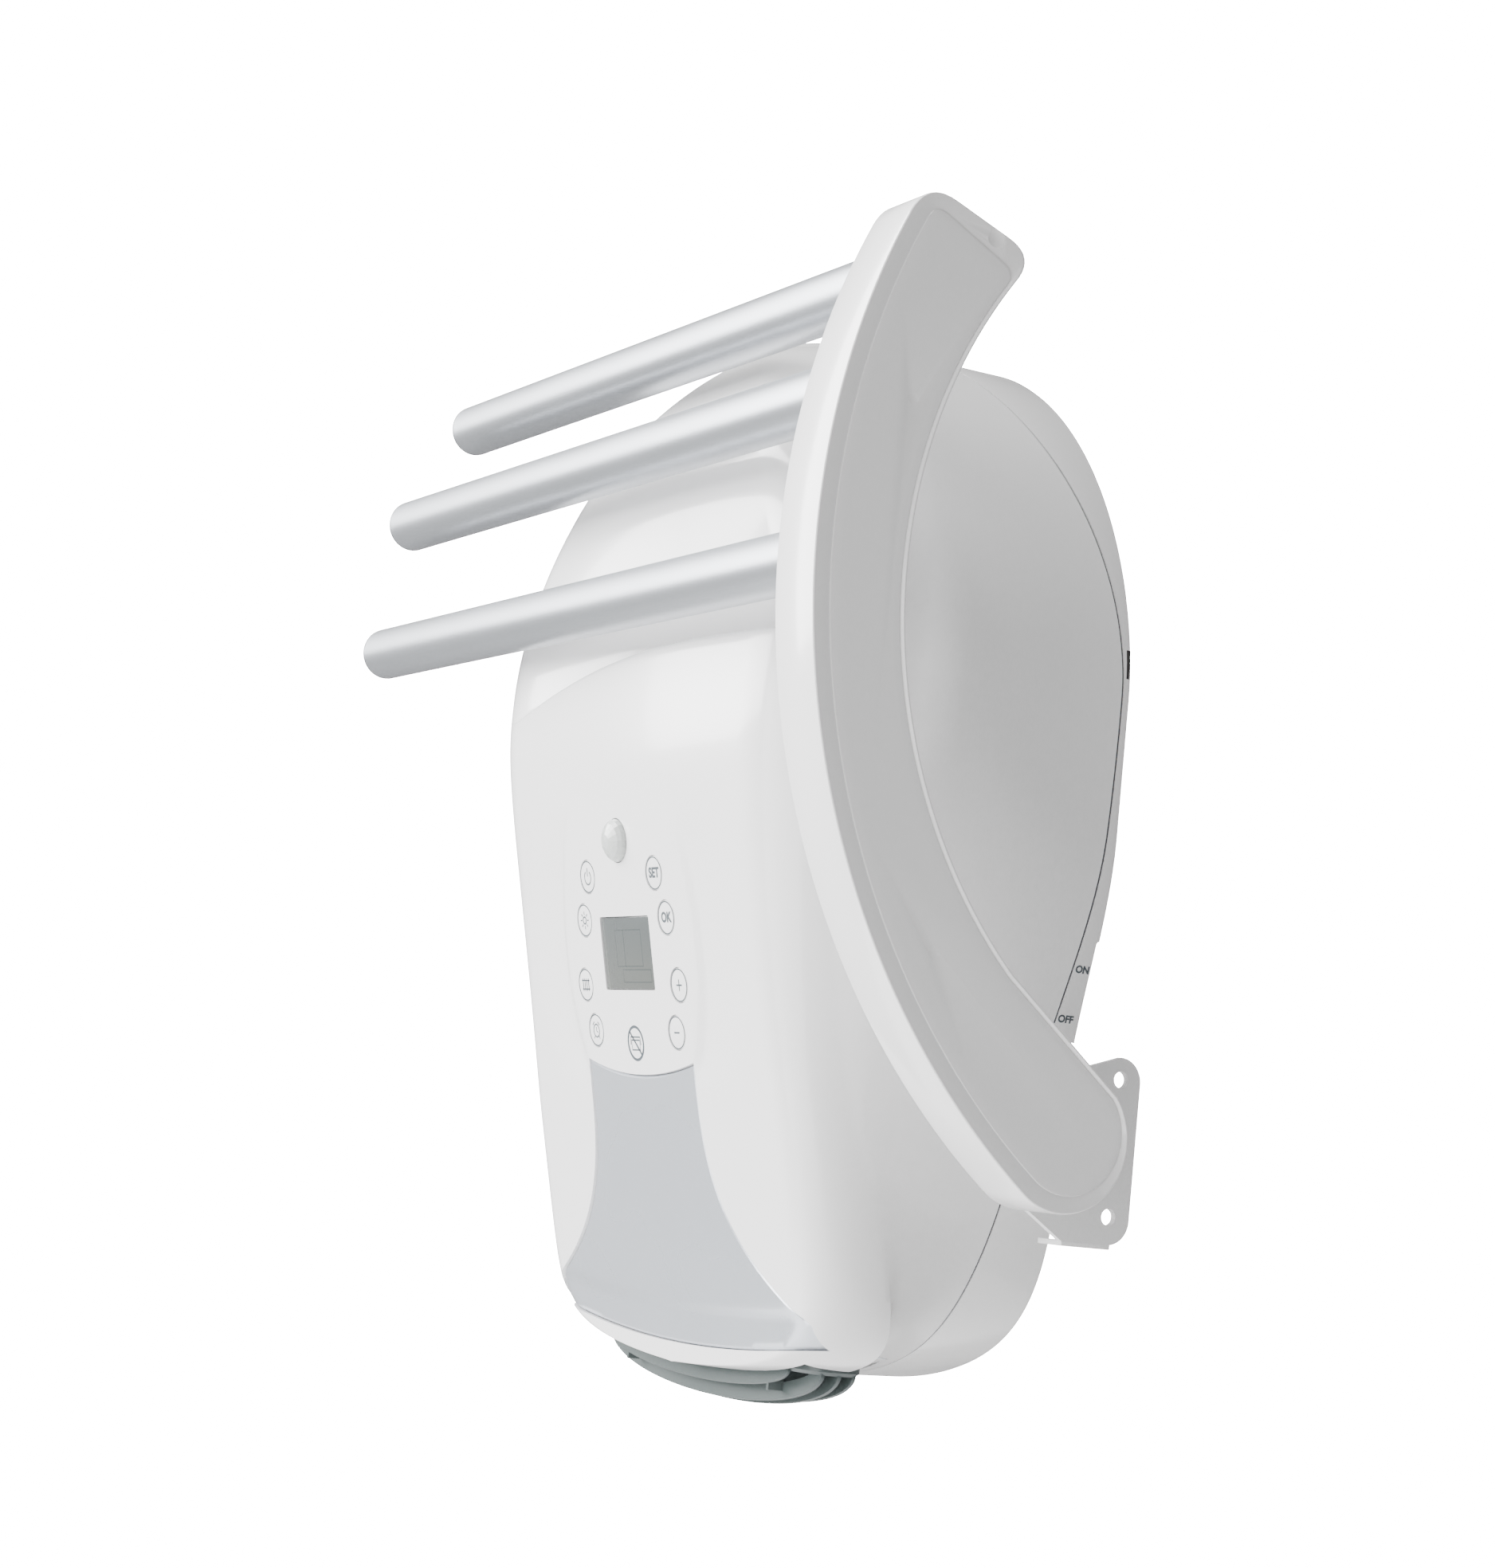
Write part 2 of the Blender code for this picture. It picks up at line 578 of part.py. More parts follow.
def make_controls():
    """Display, motion sensor, key mat and the board they stand on."""
    make_keys()
    width, height = WINDOW_SIZE
    centre = on_face(0, WINDOW_Z)
    window = box("display_window", (-width / 2 + CLEAR, 0.4 * MM, -height / 2 + CLEAR),
                 (width / 2 - CLEAR, 2.0 * MM, height / 2 - CLEAR), "display_green")
    tilt(window, centre)
    tilt(box("display_module", (-20 * MM, 3.4 * MM, -13 * MM), (20 * MM, 8.2 * MM, 13 * MM), "black_plastic"),
         centre)
    mat = box("key_mat", (-50 * MM, 7.1 * MM, -40 * MM), (50 * MM, 8.2 * MM, 38 * MM), "rubber")
    hole = box("mat_window", (-21 * MM, 5 * MM, -14 * MM), (21 * MM, 11 * MM, 14 * MM))
    tilt(mat, centre)
    tilt(hole, centre)
    combine(mat, hole)
    tilt(box("control_board", (-52 * MM, 8.6 * MM, -42 * MM), (52 * MM, 10.2 * MM, 52 * MM), "board_green"),
         centre)
    dome = [(0, 3 * MM), (7.6 * MM, 3 * MM), (SENSOR_RADIUS, 2.6 * MM), (SENSOR_RADIUS, 0)]
    dome += [(SENSOR_RADIUS * math.cos(a), -5 * MM * math.sin(a)) for a in
             (math.radians(15 * k) for k in range(1, 6))] + [(0, -5 * MM)]
    tilt(turned("sensor_lens", dome, "lens_white"), on_face(0, SENSOR_Z))
    sensor = cylinder("motion_sensor", (0, 5.8 * MM, 0), 4.2 * MM, 4 * MM, "Y", "zinc_steel", 16)
    tilt(sensor, on_face(0, SENSOR_Z))


def make_electrics():
    """Power board, mains terminals, rocker switch and thermal cut-out."""
    box("power_board", (-60 * MM, -42 * MM, 70 * MM), (60 * MM, -40.4 * MM, 138 * MM), "board_green")
    box("relay_pair", (-30 * MM, -60 * MM, 90 * MM), (10 * MM, -42.4 * MM, 116 * MM), "black_plastic", 1 * MM)
    box("terminal_block", (-96 * MM, -30 * MM, -128 * MM), (-72 * MM, -14 * MM, -104 * MM), "steel_white",
        1 * MM)
    face_x = half_width(SWITCH_Z, SWITCH_Y) - SWITCH_INSET
    housing = box("switch_housing", (face_x - 20 * MM, SWITCH_Y - 4.6 * MM, SWITCH_Z - 20 * MM),
                  (face_x, SWITCH_Y + 4.6 * MM, SWITCH_Z + 20 * MM), "black_plastic")
    combine(housing, box("rocker_well", (face_x - 10 * MM, SWITCH_Y - 3.4 * MM, SWITCH_Z - 12 * MM),
                         (face_x + 5 * MM, SWITCH_Y + 3.4 * MM, SWITCH_Z + 12 * MM)))
    pin_x = face_x - 3 * MM
    outline = [(-10.5, 4.5), (0, 1.6), (10.5, 2.6), (10.5, 0), (3, -4), (-3, -4), (-10.5, -1.5)]
    bm = bmesh.new()
    face = bm.faces.new([bm.verts.new((pin_x + x * MM, SWITCH_Y - 3 * MM, SWITCH_Z + z * MM))
                         for z, x in outline])
    pushed = bmesh.ops.extrude_face_region(bm, geom=[face])
    moved = [item for item in pushed["geom"] if isinstance(item, bmesh.types.BMVert)]
    bmesh.ops.translate(bm, verts=moved, vec=(0, 6 * MM, 0))
    rocker = add_object("rocker", mesh_from(bm, "rocker"), "black_plastic")
    child_of("rocker_axis", (pin_x, SWITCH_Y, SWITCH_Z), [rocker])


# ---- Fan and heater ----------------------------------------------------------------

def make_impeller():
    """Cross-flow wheel: blades between end discs, joined into one body."""
    left, right = FAN_X
    disc = cylinder("fan_impeller", (left + 1 * MM, FAN_Y, FAN_Z), FAN_RADIUS, 2 * MM, "X", "fan_grey", 20)
    blades = 12
    bm = bmesh.new()
    for k in range(blades):
        angle = 2 * math.pi * k / blades
        spoke = Matrix.Rotation(angle, 4, "X") @ Matrix.Translation((0, 0, FAN_RADIUS - 5.5 * MM))
        lean = Matrix.Rotation(math.radians(28), 4, "X")
        shape = Matrix.Diagonal((right - left - 2 * MM, 1.2 * MM, 8 * MM, 1))
        place = Matrix.Translation(((left + right) / 2, FAN_Y, FAN_Z))
        bmesh.ops.create_cube(bm, size=1, matrix=place @ spoke @ lean @ shape)
    combine(disc, add_object("fan_blades", mesh_from(bm, "fan_blades")), "UNION")
    for k, x in enumerate((left + 56 * MM, left + 113 * MM, right - 1 * MM)):
        combine(disc, cylinder(f"fan_disc_{k}", (x, FAN_Y, FAN_Z), FAN_RADIUS, 2 * MM, "X", sides=20), "UNION")
    combine(disc, cylinder("fan_bore", (0, FAN_Y, FAN_Z), 3.4 * MM, 0.3, "X"))
    return disc


def arc(centre_y, centre_z, radius, start, end, steps):
    """Points of an arc in the YZ plane; angles in radians from +Y towards +Z."""
    angles = [blend(start, end, k / steps) for k in range(steps + 1)]
    return [(centre_y + radius * math.cos(a), centre_z + radius * math.sin(a)) for a in angles]


def make_fan():
    """Fan wheel, shaft, motor, bush, end plates and the scroll that guides the air."""
    left, right = FAN_X
    wheel = make_impeller()
    shaft = cylinder("fan_shaft", ((left + right) / 2 + 12 * MM, FAN_Y, FAN_Z), 3 * MM,
                     right - left + 44 * MM, "X", "zinc_steel", 16)
    rotor = cylinder("motor_rotor", (right + 25 * MM, FAN_Y, FAN_Z), 11 * MM, 14 * MM, "X", "zinc_steel", 24)
    combine(rotor, cylinder("rotor_bore", (right + 25 * MM, FAN_Y, FAN_Z), 3.4 * MM, 0.04, "X"))
    child_of("fan_axis", (0, FAN_Y, FAN_Z), [wheel, shaft, rotor])
    stator = box("motor_stator", (right + 18 * MM, FAN_Y - 20 * MM, FAN_Z - 20 * MM),
                 (right + 32 * MM, FAN_Y + 20 * MM, FAN_Z + 20 * MM), "zinc_steel", 2 * MM)
    combine(stator, cylinder("stator_bore", (right + 25 * MM, FAN_Y, FAN_Z), 11.6 * MM, 0.06, "X", sides=32))
    for name, x in (("fan_end_left", left - 5 * MM), ("fan_end_right", right + 5 * MM)):
        plate = box(name, (x - 1 * MM, FAN_Y - 34 * MM, FAN_Z - 34 * MM),
                    (x + 1 * MM, FAN_Y + 34 * MM, FAN_Z + 34 * MM), "zinc_steel")
        combine(plate, cylinder(name + "_hole", (x, FAN_Y, FAN_Z), 7.4 * MM, 0.02, "X"))
        bush = cylinder(name.replace("fan_end", "fan_bush"), (x, FAN_Y, FAN_Z), 7 * MM, 6 * MM, "X",
                        "heater_alloy")
        combine(bush, cylinder(name + "_bore", (x, FAN_Y, FAN_Z), 3.4 * MM, 0.02, "X"))
    guide = arc(FAN_Y, FAN_Z, FAN_RADIUS + 5 * MM, math.radians(75), math.radians(-60), 14)
    guide.append((FAN_Y + 20 * MM, HEATER_Z[1] + 2 * MM))
    rows = [[(x, y, z) for y, z in guide] for x in (left - 3 * MM, right + 3 * MM)]
    thicken(grid("fan_scroll", rows, "black_plastic"), 1.5 * MM, offset=0.0)


def make_heater():
    """Heater frame, its finned ceramic block and the thermal cut-out."""
    x_range = (-OUTLET_HALF, OUTLET_HALF)
    y_range = (HEATER_Y - 18 * MM, HEATER_Y + 18 * MM)
    frame = box("heater_frame", (x_range[0], y_range[0], HEATER_Z[0]), (x_range[1], y_range[1], HEATER_Z[1]),
                "black_plastic")
    combine(frame, ring_cut("heater_cut", x_range, y_range, HEATER_Z, 3 * MM))
    low, high = HEATER_Z[0] + 3 * MM, HEATER_Z[1] - 3 * MM
    block = box("heater_element", (-OUTLET_HALF + 4 * MM, y_range[0] + 4 * MM, low),
                (OUTLET_HALF - 4 * MM, y_range[1] - 4 * MM, high), "heater_alloy")
    fins = 14
    pitch = (2 * OUTLET_HALF - 14 * MM) / fins
    for k in range(fins):
        x = -OUTLET_HALF + 7 * MM + k * pitch
        for row, y in enumerate((HEATER_Y - 6.5 * MM, HEATER_Y + 6.5 * MM)):
            combine(block, box(f"fin_gap_{k}_{row}", (x + 1 * MM, y - 4.5 * MM, low - 0.01),
                               (x + pitch - 1 * MM, y + 4.5 * MM, high + 0.01)))
    cylinder("thermal_cutout", (-OUTLET_HALF - 6 * MM, HEATER_Y, sum(HEATER_Z) / 2), 8 * MM, 8 * MM, "X",
             "zinc_steel")


# ---- Drying rack -------------------------------------------------------------------

def arm_outline(inset=0.0, steps=9):
    """The arm seen from its side: two arcs, a slanted tip and a round foot on the pivot."""
    front_y, front_z, front_r = ARM_FRONT_ARC
    back_y, back_z, back_r = ARM_BACK_ARC
    front_r -= inset
    back_r += inset
    foot_angle = math.atan2(PIVOT_Z - front_z, PIVOT_Y - front_y) % (2 * math.pi)
    tip_angle = math.pi - math.asin((TIP_FRONT_Z - front_z - inset) / front_r)
    points = arc(front_y, front_z, front_r, tip_angle, foot_angle, steps)
    points += arc(PIVOT_Y, PIVOT_Z, PIVOT_RADIUS - inset, foot_angle, math.radians(400), steps)[1:]
    low_angle, high_angle = math.radians(226), math.pi - math.asin((TIP_BACK_Z - back_z - inset) / back_r)
    points += arc(back_y, back_z, back_r, low_angle, high_angle, steps)
    return points


def make_arm():
    """Swinging arm: outer shell, load-carrying core, inner cover, three bars and their bolts."""
    inner, outer = ARM_X
    shell = prism("arm_shell", arm_outline(), inner, outer, "gloss_white")
    combine(shell, prism("arm_hollow", arm_outline(3 * MM), inner - 0.01, outer - 3 * MM))
    round_edges(shell, 1.6 * MM, 2, 50)
    core = prism("arm_core", arm_outline(4 * MM), inner + 8 * MM, inner + 11 * MM, "zinc_steel")
    cover = prism("arm_inner_cover", arm_outline(3.6 * MM), inner, inner + 2.4 * MM, "gloss_white")
    bore = cylinder("pivot_bore", (inner, PIVOT_Y, PIVOT_Z), 6 * MM, 0.05, "X")
    combine(core, cylinder("pivot_boss", (inner + 5.6 * MM, PIVOT_Y, PIVOT_Z), 11 * MM, 6 * MM, "X"), "UNION")
    combine(cover, cylinder("boss_hole", (inner, PIVOT_Y, PIVOT_Z), 11.5 * MM, 0.02, "X"))
    moving = [shell, core, cover]
    for name, (y, z) in BARS.items():
        moving += make_bar(name, y, z)
        spigot = cylinder("spigot_" + name, (inner - 4 * MM, y, z), 9 * MM, 25 * MM, "X")
        combine(core, spigot, "UNION")
        combine(cover, cylinder("bar_hole_" + name, (inner, y, z), BAR_RADIUS + CLEAR, 0.02, "X", sides=20))
    for name, (y, z) in BARS.items():
        combine(core, cylinder("bolt_hole_" + name, (inner, y, z), 3.5 * MM, 0.08, "X", sides=12))
        moving.append(bar_bolt(name, y, z))
    combine(core, bore)
    child_of("rack_axis", (0, PIVOT_Y, PIVOT_Z), moving)


def make_bar(name, y, z):
    """One tube of the rack and the cap that closes its free end."""
    stop = ARM_X[0] + 7.6 * MM
    length = stop - BAR_END_X
    tube = cylinder("bar_" + name, (BAR_END_X + length / 2, y, z), BAR_RADIUS, length, "X",
                    "satin_aluminium", 20)
    combine(tube, cylinder("bar_bore_" + name, (BAR_END_X + length / 2, y, z), 9.5 * MM, length + 0.02, "X"))
    cap = turned("bar_cap_" + name, [(0, 8 * MM), (9.1 * MM, 8 * MM), (9.1 * MM, 0), (BAR_RADIUS, -0.4 * MM),
                                     (BAR_RADIUS, -1.2 * MM), (BAR_RADIUS - 1.2 * MM, -2.6 * MM),
                                     (0, -2.6 * MM)], "satin_aluminium", 20)
    cap.matrix_world = Matrix.Translation((BAR_END_X, y, z)) @ Matrix.Rotation(-math.pi / 2, 4, "Z")
    return [tube, cap]


def bar_bolt(name, y, z):
    """One bolt: a head on the core's outer face and a shank inside the bar's spigot."""
    head_x = ARM_X[0] + 11.4 * MM
    bolt = cylinder("bar_bolt_" + name, (head_x - 8 * MM, y, z), 3 * MM, 18 * MM, "X", "zinc_steel", 12)
    head = cylinder("bolt_head_" + name, (head_x + 2 * MM, y, z), 5 * MM, 4 * MM, "X", sides=12)
    return combine(bolt, head, "UNION")


def make_bracket():
    """Steel bracket on the wall that carries the pivot, with its bolt, nut, spacer and washer."""
    low_x, high_x = BRACKET_X
    lobe = arc(PIVOT_Y, PIVOT_Z, 22 * MM, math.radians(100), math.radians(262), 10)
    heel = arc(-9 * MM, -157 * MM, 9 * MM, math.radians(270), math.radians(360), 4)
    head = arc(-9 * MM, -108 * MM, 9 * MM, math.radians(0), math.radians(90), 4)
    plate = prism("arm_bracket", lobe + [(-28 * MM, -166 * MM)] + heel + head, low_x, high_x, "steel_white")
    strap = box("bracket_strap", (95 * MM, -2.4 * MM, -152 * MM), (low_x + 1 * MM, 0, -112 * MM))
    tab = box("bracket_tab", (low_x - 14 * MM, -27 * MM, -167.6 * MM), (low_x + 1 * MM, -6 * MM, -165.6 * MM))
    combine(plate, strap, "UNION")
    combine(plate, tab, "UNION")
    for name, y, z, radius in (("pin_hole", PIVOT_Y, PIVOT_Z, 5.8 * MM), ("upper_hole", -8.5 * MM, -107 * MM,
                                3 * MM), ("lower_hole", -9 * MM, -156 * MM, 3 * MM)):
        combine(plate, cylinder(name, (low_x, y, z), radius, 0.02, "X", sides=16))
    for z in (-120 * MM, -144 * MM):
        combine(plate, cylinder(f"strap_hole_{z:.3f}", (110 * MM, 0, z), 2.6 * MM, 0.02, "Y", sides=12))
    arm_x = ARM_X[0]
    bolt = cylinder("pivot_bolt", (arm_x - 3 * MM, PIVOT_Y, PIVOT_Z), 5.4 * MM, 48 * MM, "X", "zinc_steel")
    combine(bolt, cylinder("bolt_head", (arm_x + 17 * MM, PIVOT_Y, PIVOT_Z), 10 * MM, 8 * MM, "X"), "UNION")
    spacer = cylinder("pivot_spacer", ((high_x + arm_x - 1.6 * MM) / 2, PIVOT_Y, PIVOT_Z), 12 * MM,
                      arm_x - high_x - 2.4 * MM, "X", "black_plastic")
    combine(spacer, cylinder("spacer_bore", (arm_x - 7 * MM, PIVOT_Y, PIVOT_Z), 5.9 * MM, 0.04, "X"))
    nut = cylinder("pivot_nut", (152.5 * MM, PIVOT_Y, PIVOT_Z), 10 * MM, 8 * MM, "X", "zinc_steel", 6)
    combine(nut, cylinder("nut_bore", (152.5 * MM, PIVOT_Y, PIVOT_Z), 5.8 * MM, 0.02, "X"))
    washer = cylinder("friction_washer", (arm_x - 0.8 * MM, PIVOT_Y, PIVOT_Z), 15 * MM, 0.9 * MM, "X", "rubber")
    combine(washer, cylinder("washer_bore", (arm_x - 0.8 * MM, PIVOT_Y, PIVOT_Z), 5.9 * MM, 0.02, "X"))


def main():
    """Build every part of the heater and its rack."""
    clear_scene()
    make_housing()
    make_controls()
    make_electrics()
    make_fan()
    make_heater()
    make_arm()
    make_bracket()


main()
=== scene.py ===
"""Finished model of a wall-mounted bathroom fan heater with a swinging drying rack.

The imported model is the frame.  Each sub-assembly is a class that builds its own pieces
around that frame and dresses them; the wall is the plane Y = 0 and the heater faces -Y.
"""
import json
import logging
import math
from dataclasses import dataclass
from enum import Enum
from typing import Callable, Sequence

import bmesh
import bpy
from mathutils import Matrix, Vector
from mathutils.bvhtree import BVHTree
from mathutils.interpolate import poly_3d_calc


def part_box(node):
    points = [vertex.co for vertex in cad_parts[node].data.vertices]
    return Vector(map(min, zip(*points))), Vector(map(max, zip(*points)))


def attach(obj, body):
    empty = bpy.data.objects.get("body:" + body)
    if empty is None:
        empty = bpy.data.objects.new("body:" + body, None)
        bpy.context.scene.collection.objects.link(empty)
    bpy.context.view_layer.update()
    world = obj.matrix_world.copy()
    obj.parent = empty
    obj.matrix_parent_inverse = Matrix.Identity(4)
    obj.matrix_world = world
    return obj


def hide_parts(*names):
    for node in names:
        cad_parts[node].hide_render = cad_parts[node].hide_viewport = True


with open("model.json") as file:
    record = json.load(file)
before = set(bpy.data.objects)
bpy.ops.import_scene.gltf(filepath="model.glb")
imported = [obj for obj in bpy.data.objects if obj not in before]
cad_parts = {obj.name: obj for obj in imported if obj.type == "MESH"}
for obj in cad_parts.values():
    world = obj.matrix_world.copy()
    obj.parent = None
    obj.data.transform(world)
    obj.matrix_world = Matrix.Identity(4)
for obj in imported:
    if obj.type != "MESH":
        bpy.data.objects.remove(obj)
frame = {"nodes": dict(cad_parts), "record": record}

log = logging.getLogger("fan_heater")
MM = 0.001
Point = tuple[float, float, float]
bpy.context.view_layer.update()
REPLACED: list[str] = []


def smooth(value: float) -> float:
    """Ease from 0 to 1."""
    t = min(max(value, 0.0), 1.0)
    return t * t * (3 - 2 * t)


def blend(a: float, b: float, t: float) -> float:
    """Go from a to b as t goes from 0 to 1."""
    return a + (b - a) * t


# ---- Shader tools --------------------------------------------------------------------

class Signal:
    """One output socket of a shader tree, with arithmetic that adds Math nodes."""

    def __init__(self, book: "Book", socket: bpy.types.NodeSocket) -> None:
        """Remember the socket and the tree it is in."""
        self.book = book
        self.socket = socket

    def math(self, operation: str, *others: "Signal | float") -> "Signal":
        """Add a Math node whose first input is this signal.

        Args:
            operation: the Math node's operation.
            others: its further inputs.

        Returns:
            The node's output.
        """
        inputs = dict(enumerate((self, *others)))
        return self.book.node("ShaderNodeMath", {"operation": operation}, inputs)

    def __add__(self, other: "Signal | float") -> "Signal":
        """Sum."""
        return self.math("ADD", other)

    def __sub__(self, other: "Signal | float") -> "Signal":
        """Difference."""
        return self.math("SUBTRACT", other)

    def __rsub__(self, other: float) -> "Signal":
        """A number minus this signal."""
        return self.book.node("ShaderNodeMath", {"operation": "SUBTRACT"}, {0: other, 1: self})

    def __mul__(self, other: "Signal | float") -> "Signal":
        """Product."""
        return self.math("MULTIPLY", other)

    def __truediv__(self, other: "Signal | float") -> "Signal":
        """Quotient."""
        return self.math("DIVIDE", other)

    def __pow__(self, other: float) -> "Signal":
        """Power."""
        return self.math("POWER", other)

    __radd__ = __add__
    __rmul__ = __mul__

    def ramp(self, low: float, high: float) -> "Signal":
        """Ease from 0 at low to 1 at high."""
        return self.book.node("ShaderNodeMapRange", {"interpolation_type": "SMOOTHSTEP"},
                              {"Value": self, "From Min": low, "From Max": high})

    def band(self, centre: float, half: float, soft: float) -> "Signal":
        """1 within half of a centre, falling to 0 over a soft edge."""
        away = (self - centre).math("ABSOLUTE")
        return 1 - away.ramp(half, half + soft)


class Book:
    """One material's shader tree."""

    def __init__(self, name: str) -> None:
        """Start an empty tree with a Principled shader and an output."""
        self.material = bpy.data.materials.new(name)
        self.material.use_nodes = True
        self.tree = self.material.node_tree
        self.shader = self.tree.nodes["Principled BSDF"]

    def node(self, kind: str, settings: dict, inputs: dict, output: int | str = 0) -> Signal:
        """Add a node.

        Args:
            kind: the node's type name.
            settings: its own properties, set before its inputs.
            inputs: values or signals by socket name or number.
            output: which output to return.

        Returns:
            The chosen output as a signal.
        """
        made = self.tree.nodes.new(kind)
        for name, value in settings.items():
            setattr(made, name, value)
        for key, value in inputs.items():
            self.feed(made.inputs[key], value)
        return Signal(self, made.outputs[output])

    def feed(self, socket: bpy.types.NodeSocket, value: "Signal | float | Sequence[float]") -> None:
        """Link a signal to a socket, or set the socket's own value."""
        if isinstance(value, Signal):
            self.tree.links.new(value.socket, socket)
        elif isinstance(value, tuple) and socket.type == "RGBA" and len(value) == 3:
            socket.default_value = (*value, 1.0)
        else:
            socket.default_value = value

    def place(self) -> Signal:
        """Object coordinates, in metres."""
        return self.node("ShaderNodeTexCoord", {}, {}, "Object")

    def axes(self) -> tuple[Signal, Signal, Signal]:
        """Object coordinates split into X, Y and Z."""
        split = self.node("ShaderNodeSeparateXYZ", {}, {"Vector": self.place()})
        outputs = split.socket.node.outputs
        return tuple(Signal(self, outputs[name]) for name in "XYZ")

    def noise(self, scale: float, detail: float = 2.0, stretch: Point = (1.0, 1.0, 1.0)) -> Signal:
        """Noise between 0 and 1.

        Args:
            scale: cells per metre.
            detail: octaves.
            stretch: factor on the scale along each axis.

        Returns:
            The noise value.
        """
        where = self.node("ShaderNodeMapping", {}, {"Vector": self.place(), "Scale": stretch})
        return self.node("ShaderNodeTexNoise", {}, {"Vector": where, "Scale": scale, "Detail": detail})

    def mix(self, factor: "Signal | float", a: "Signal | Point", b: "Signal | Point") -> Signal:
        """Mix two colours, from a at 0 to b at 1."""
        return self.node("ShaderNodeMix", {"data_type": "RGBA"}, {0: factor, 6: a, 7: b}, 2)

    def bump(self, height: Signal, distance: float, strength: float = 1.0) -> Signal:
        """Turn a height between 0 and 1 into a normal."""
        return self.node("ShaderNodeBump", {}, {"Height": height, "Distance": distance, "Strength": strength})

    def dress(self, **inputs: "Signal | float | Point") -> bpy.types.Material:
        """Set the Principled shader's sockets, with _ in place of a space, and return the material."""
        for name, value in inputs.items():
            self.feed(self.shader.inputs[name.replace("_", " ")], value)
        return self.material


class Texture(Enum):
    """How a finish varies over its surface."""

    MOULDED = "moulded"
    BRUSHED = "brushed"
    FLAKE = "flake"
    WOVEN = "woven"
    TRACKS = "tracks"


@dataclass(frozen=True)
class Finish:
    """A surface finish: two close colours, roughness and a fine relief."""

    name: str
    colour: Point
    shade: Point
    rough: tuple[float, float]
    metal: float = 0.0
    coat: float = 0.0
    grain: float = 900.0
    relief: float = 0.01 * MM
    texture: Texture = Texture.MOULDED

    def pattern(self, book: Book) -> Signal:
        """The fine relief, between 0 and 1."""
        if self.texture is Texture.BRUSHED:
            return book.noise(self.grain, 3.0, (0.01, 1.0, 1.0))
        if self.texture is Texture.WOVEN:
            x, _, z = book.axes()
            return ((x * self.grain).math("SINE") * (z * self.grain).math("SINE")).math("ABSOLUTE")
        if self.texture is Texture.TRACKS:
            x, _, z = book.axes()
            across = (x * self.grain).math("SINE").ramp(0.55, 0.75)
            return across * (z * self.grain * 0.37).math("COSINE").ramp(0, 0.4)
        return book.noise(self.grain, 2.0)

    def material(self) -> bpy.types.Material:
        """Build the finish, or return it if it is there already."""
        done = bpy.data.materials.get(self.name)
        if done:
            return done
        book = Book(self.name)
        fine = self.pattern(book)
        broad = book.noise(14.0, 2.0)
        tint = fine if self.texture in (Texture.FLAKE, Texture.TRACKS, Texture.WOVEN) else broad
        low, high = self.rough
        book.shader.inputs["Coat Weight"].default_value = self.coat
        book.shader.inputs["Coat Roughness"].default_value = 0.06
        return book.dress(Base_Color=book.mix(tint, self.colour, self.shade), Metallic=self.metal,
                          Roughness=broad * (high - low) + low, Normal=book.bump(fine, self.relief))


WHITE = Finish("gloss_white_abs", (0.815, 0.810, 0.812), (0.795, 0.790, 0.792), (0.16, 0.22), coat=0.25,
               grain=260.0, relief=0.006 * MM)
SILVER = Finish("silver_lacquer", (0.53, 0.56, 0.61), (0.60, 0.63, 0.67), (0.24, 0.32), 0.55, 0.35, 5200.0,
                0.004 * MM, Texture.FLAKE)
ALUMINIUM = Finish("satin_anodised_tube", (0.50, 0.52, 0.55), (0.44, 0.46, 0.49), (0.32, 0.40), 0.85, 0.0,
                   3000.0, 0.008 * MM, Texture.BRUSHED)
GRILLE = Finish("grille_grey_green", (0.055, 0.072, 0.072), (0.075, 0.092, 0.090), (0.30, 0.57), grain=1500.0)
BLACK = Finish("black_plastic", (0.022, 0.022, 0.023), (0.035, 0.035, 0.036), (0.4, 0.55), grain=1800.0,
               relief=0.02 * MM)
# Grey print ink; the same finish also paints the shade in the seam between the shells.
INK_AND_SEAM_SHADE = Finish("grey_print", (0.045, 0.058, 0.068), (0.060, 0.075, 0.085), (0.4, 0.5), grain=2500.0)
COATED = Finish("white_powder_coat", (0.74, 0.74, 0.74), (0.70, 0.70, 0.70), (0.35, 0.5), grain=1400.0,
                relief=0.03 * MM)
ZINC = Finish("zinc_plate", (0.50, 0.51, 0.53), (0.62, 0.62, 0.62), (0.28, 0.45), 1.0, 0.0, 600.0, 0.01 * MM,
              Texture.FLAKE)
RUBBER = Finish("silicone_rubber", (0.03, 0.03, 0.032), (0.045, 0.045, 0.046), (0.7, 0.85), grain=1600.0)
BOARD = Finish("solder_mask_green", (0.012, 0.09, 0.035), (0.05, 0.22, 0.09), (0.3, 0.45), grain=1900.0,
               relief=0.03 * MM, texture=Texture.TRACKS)
MESH = Finish("nylon_dust_mesh", (0.03, 0.03, 0.032), (0.14, 0.14, 0.15), (0.6, 0.8), grain=3100.0,
              relief=0.2 * MM, texture=Texture.WOVEN)
FAN_GREY = Finish("glass_filled_grey", (0.10, 0.105, 0.11), (0.14, 0.145, 0.15), (0.45, 0.6), grain=1300.0,
                  relief=0.02 * MM)
FINS = Finish("rolled_aluminium_fin", (0.62, 0.61, 0.59), (0.50, 0.48, 0.46), (0.3, 0.45), 0.9, 0.0, 2400.0,
              0.01 * MM, Texture.BRUSHED)
BRONZE = Finish("sintered_bronze", (0.42, 0.30, 0.16), (0.50, 0.37, 0.21), (0.4, 0.55), 0.9, grain=2600.0)
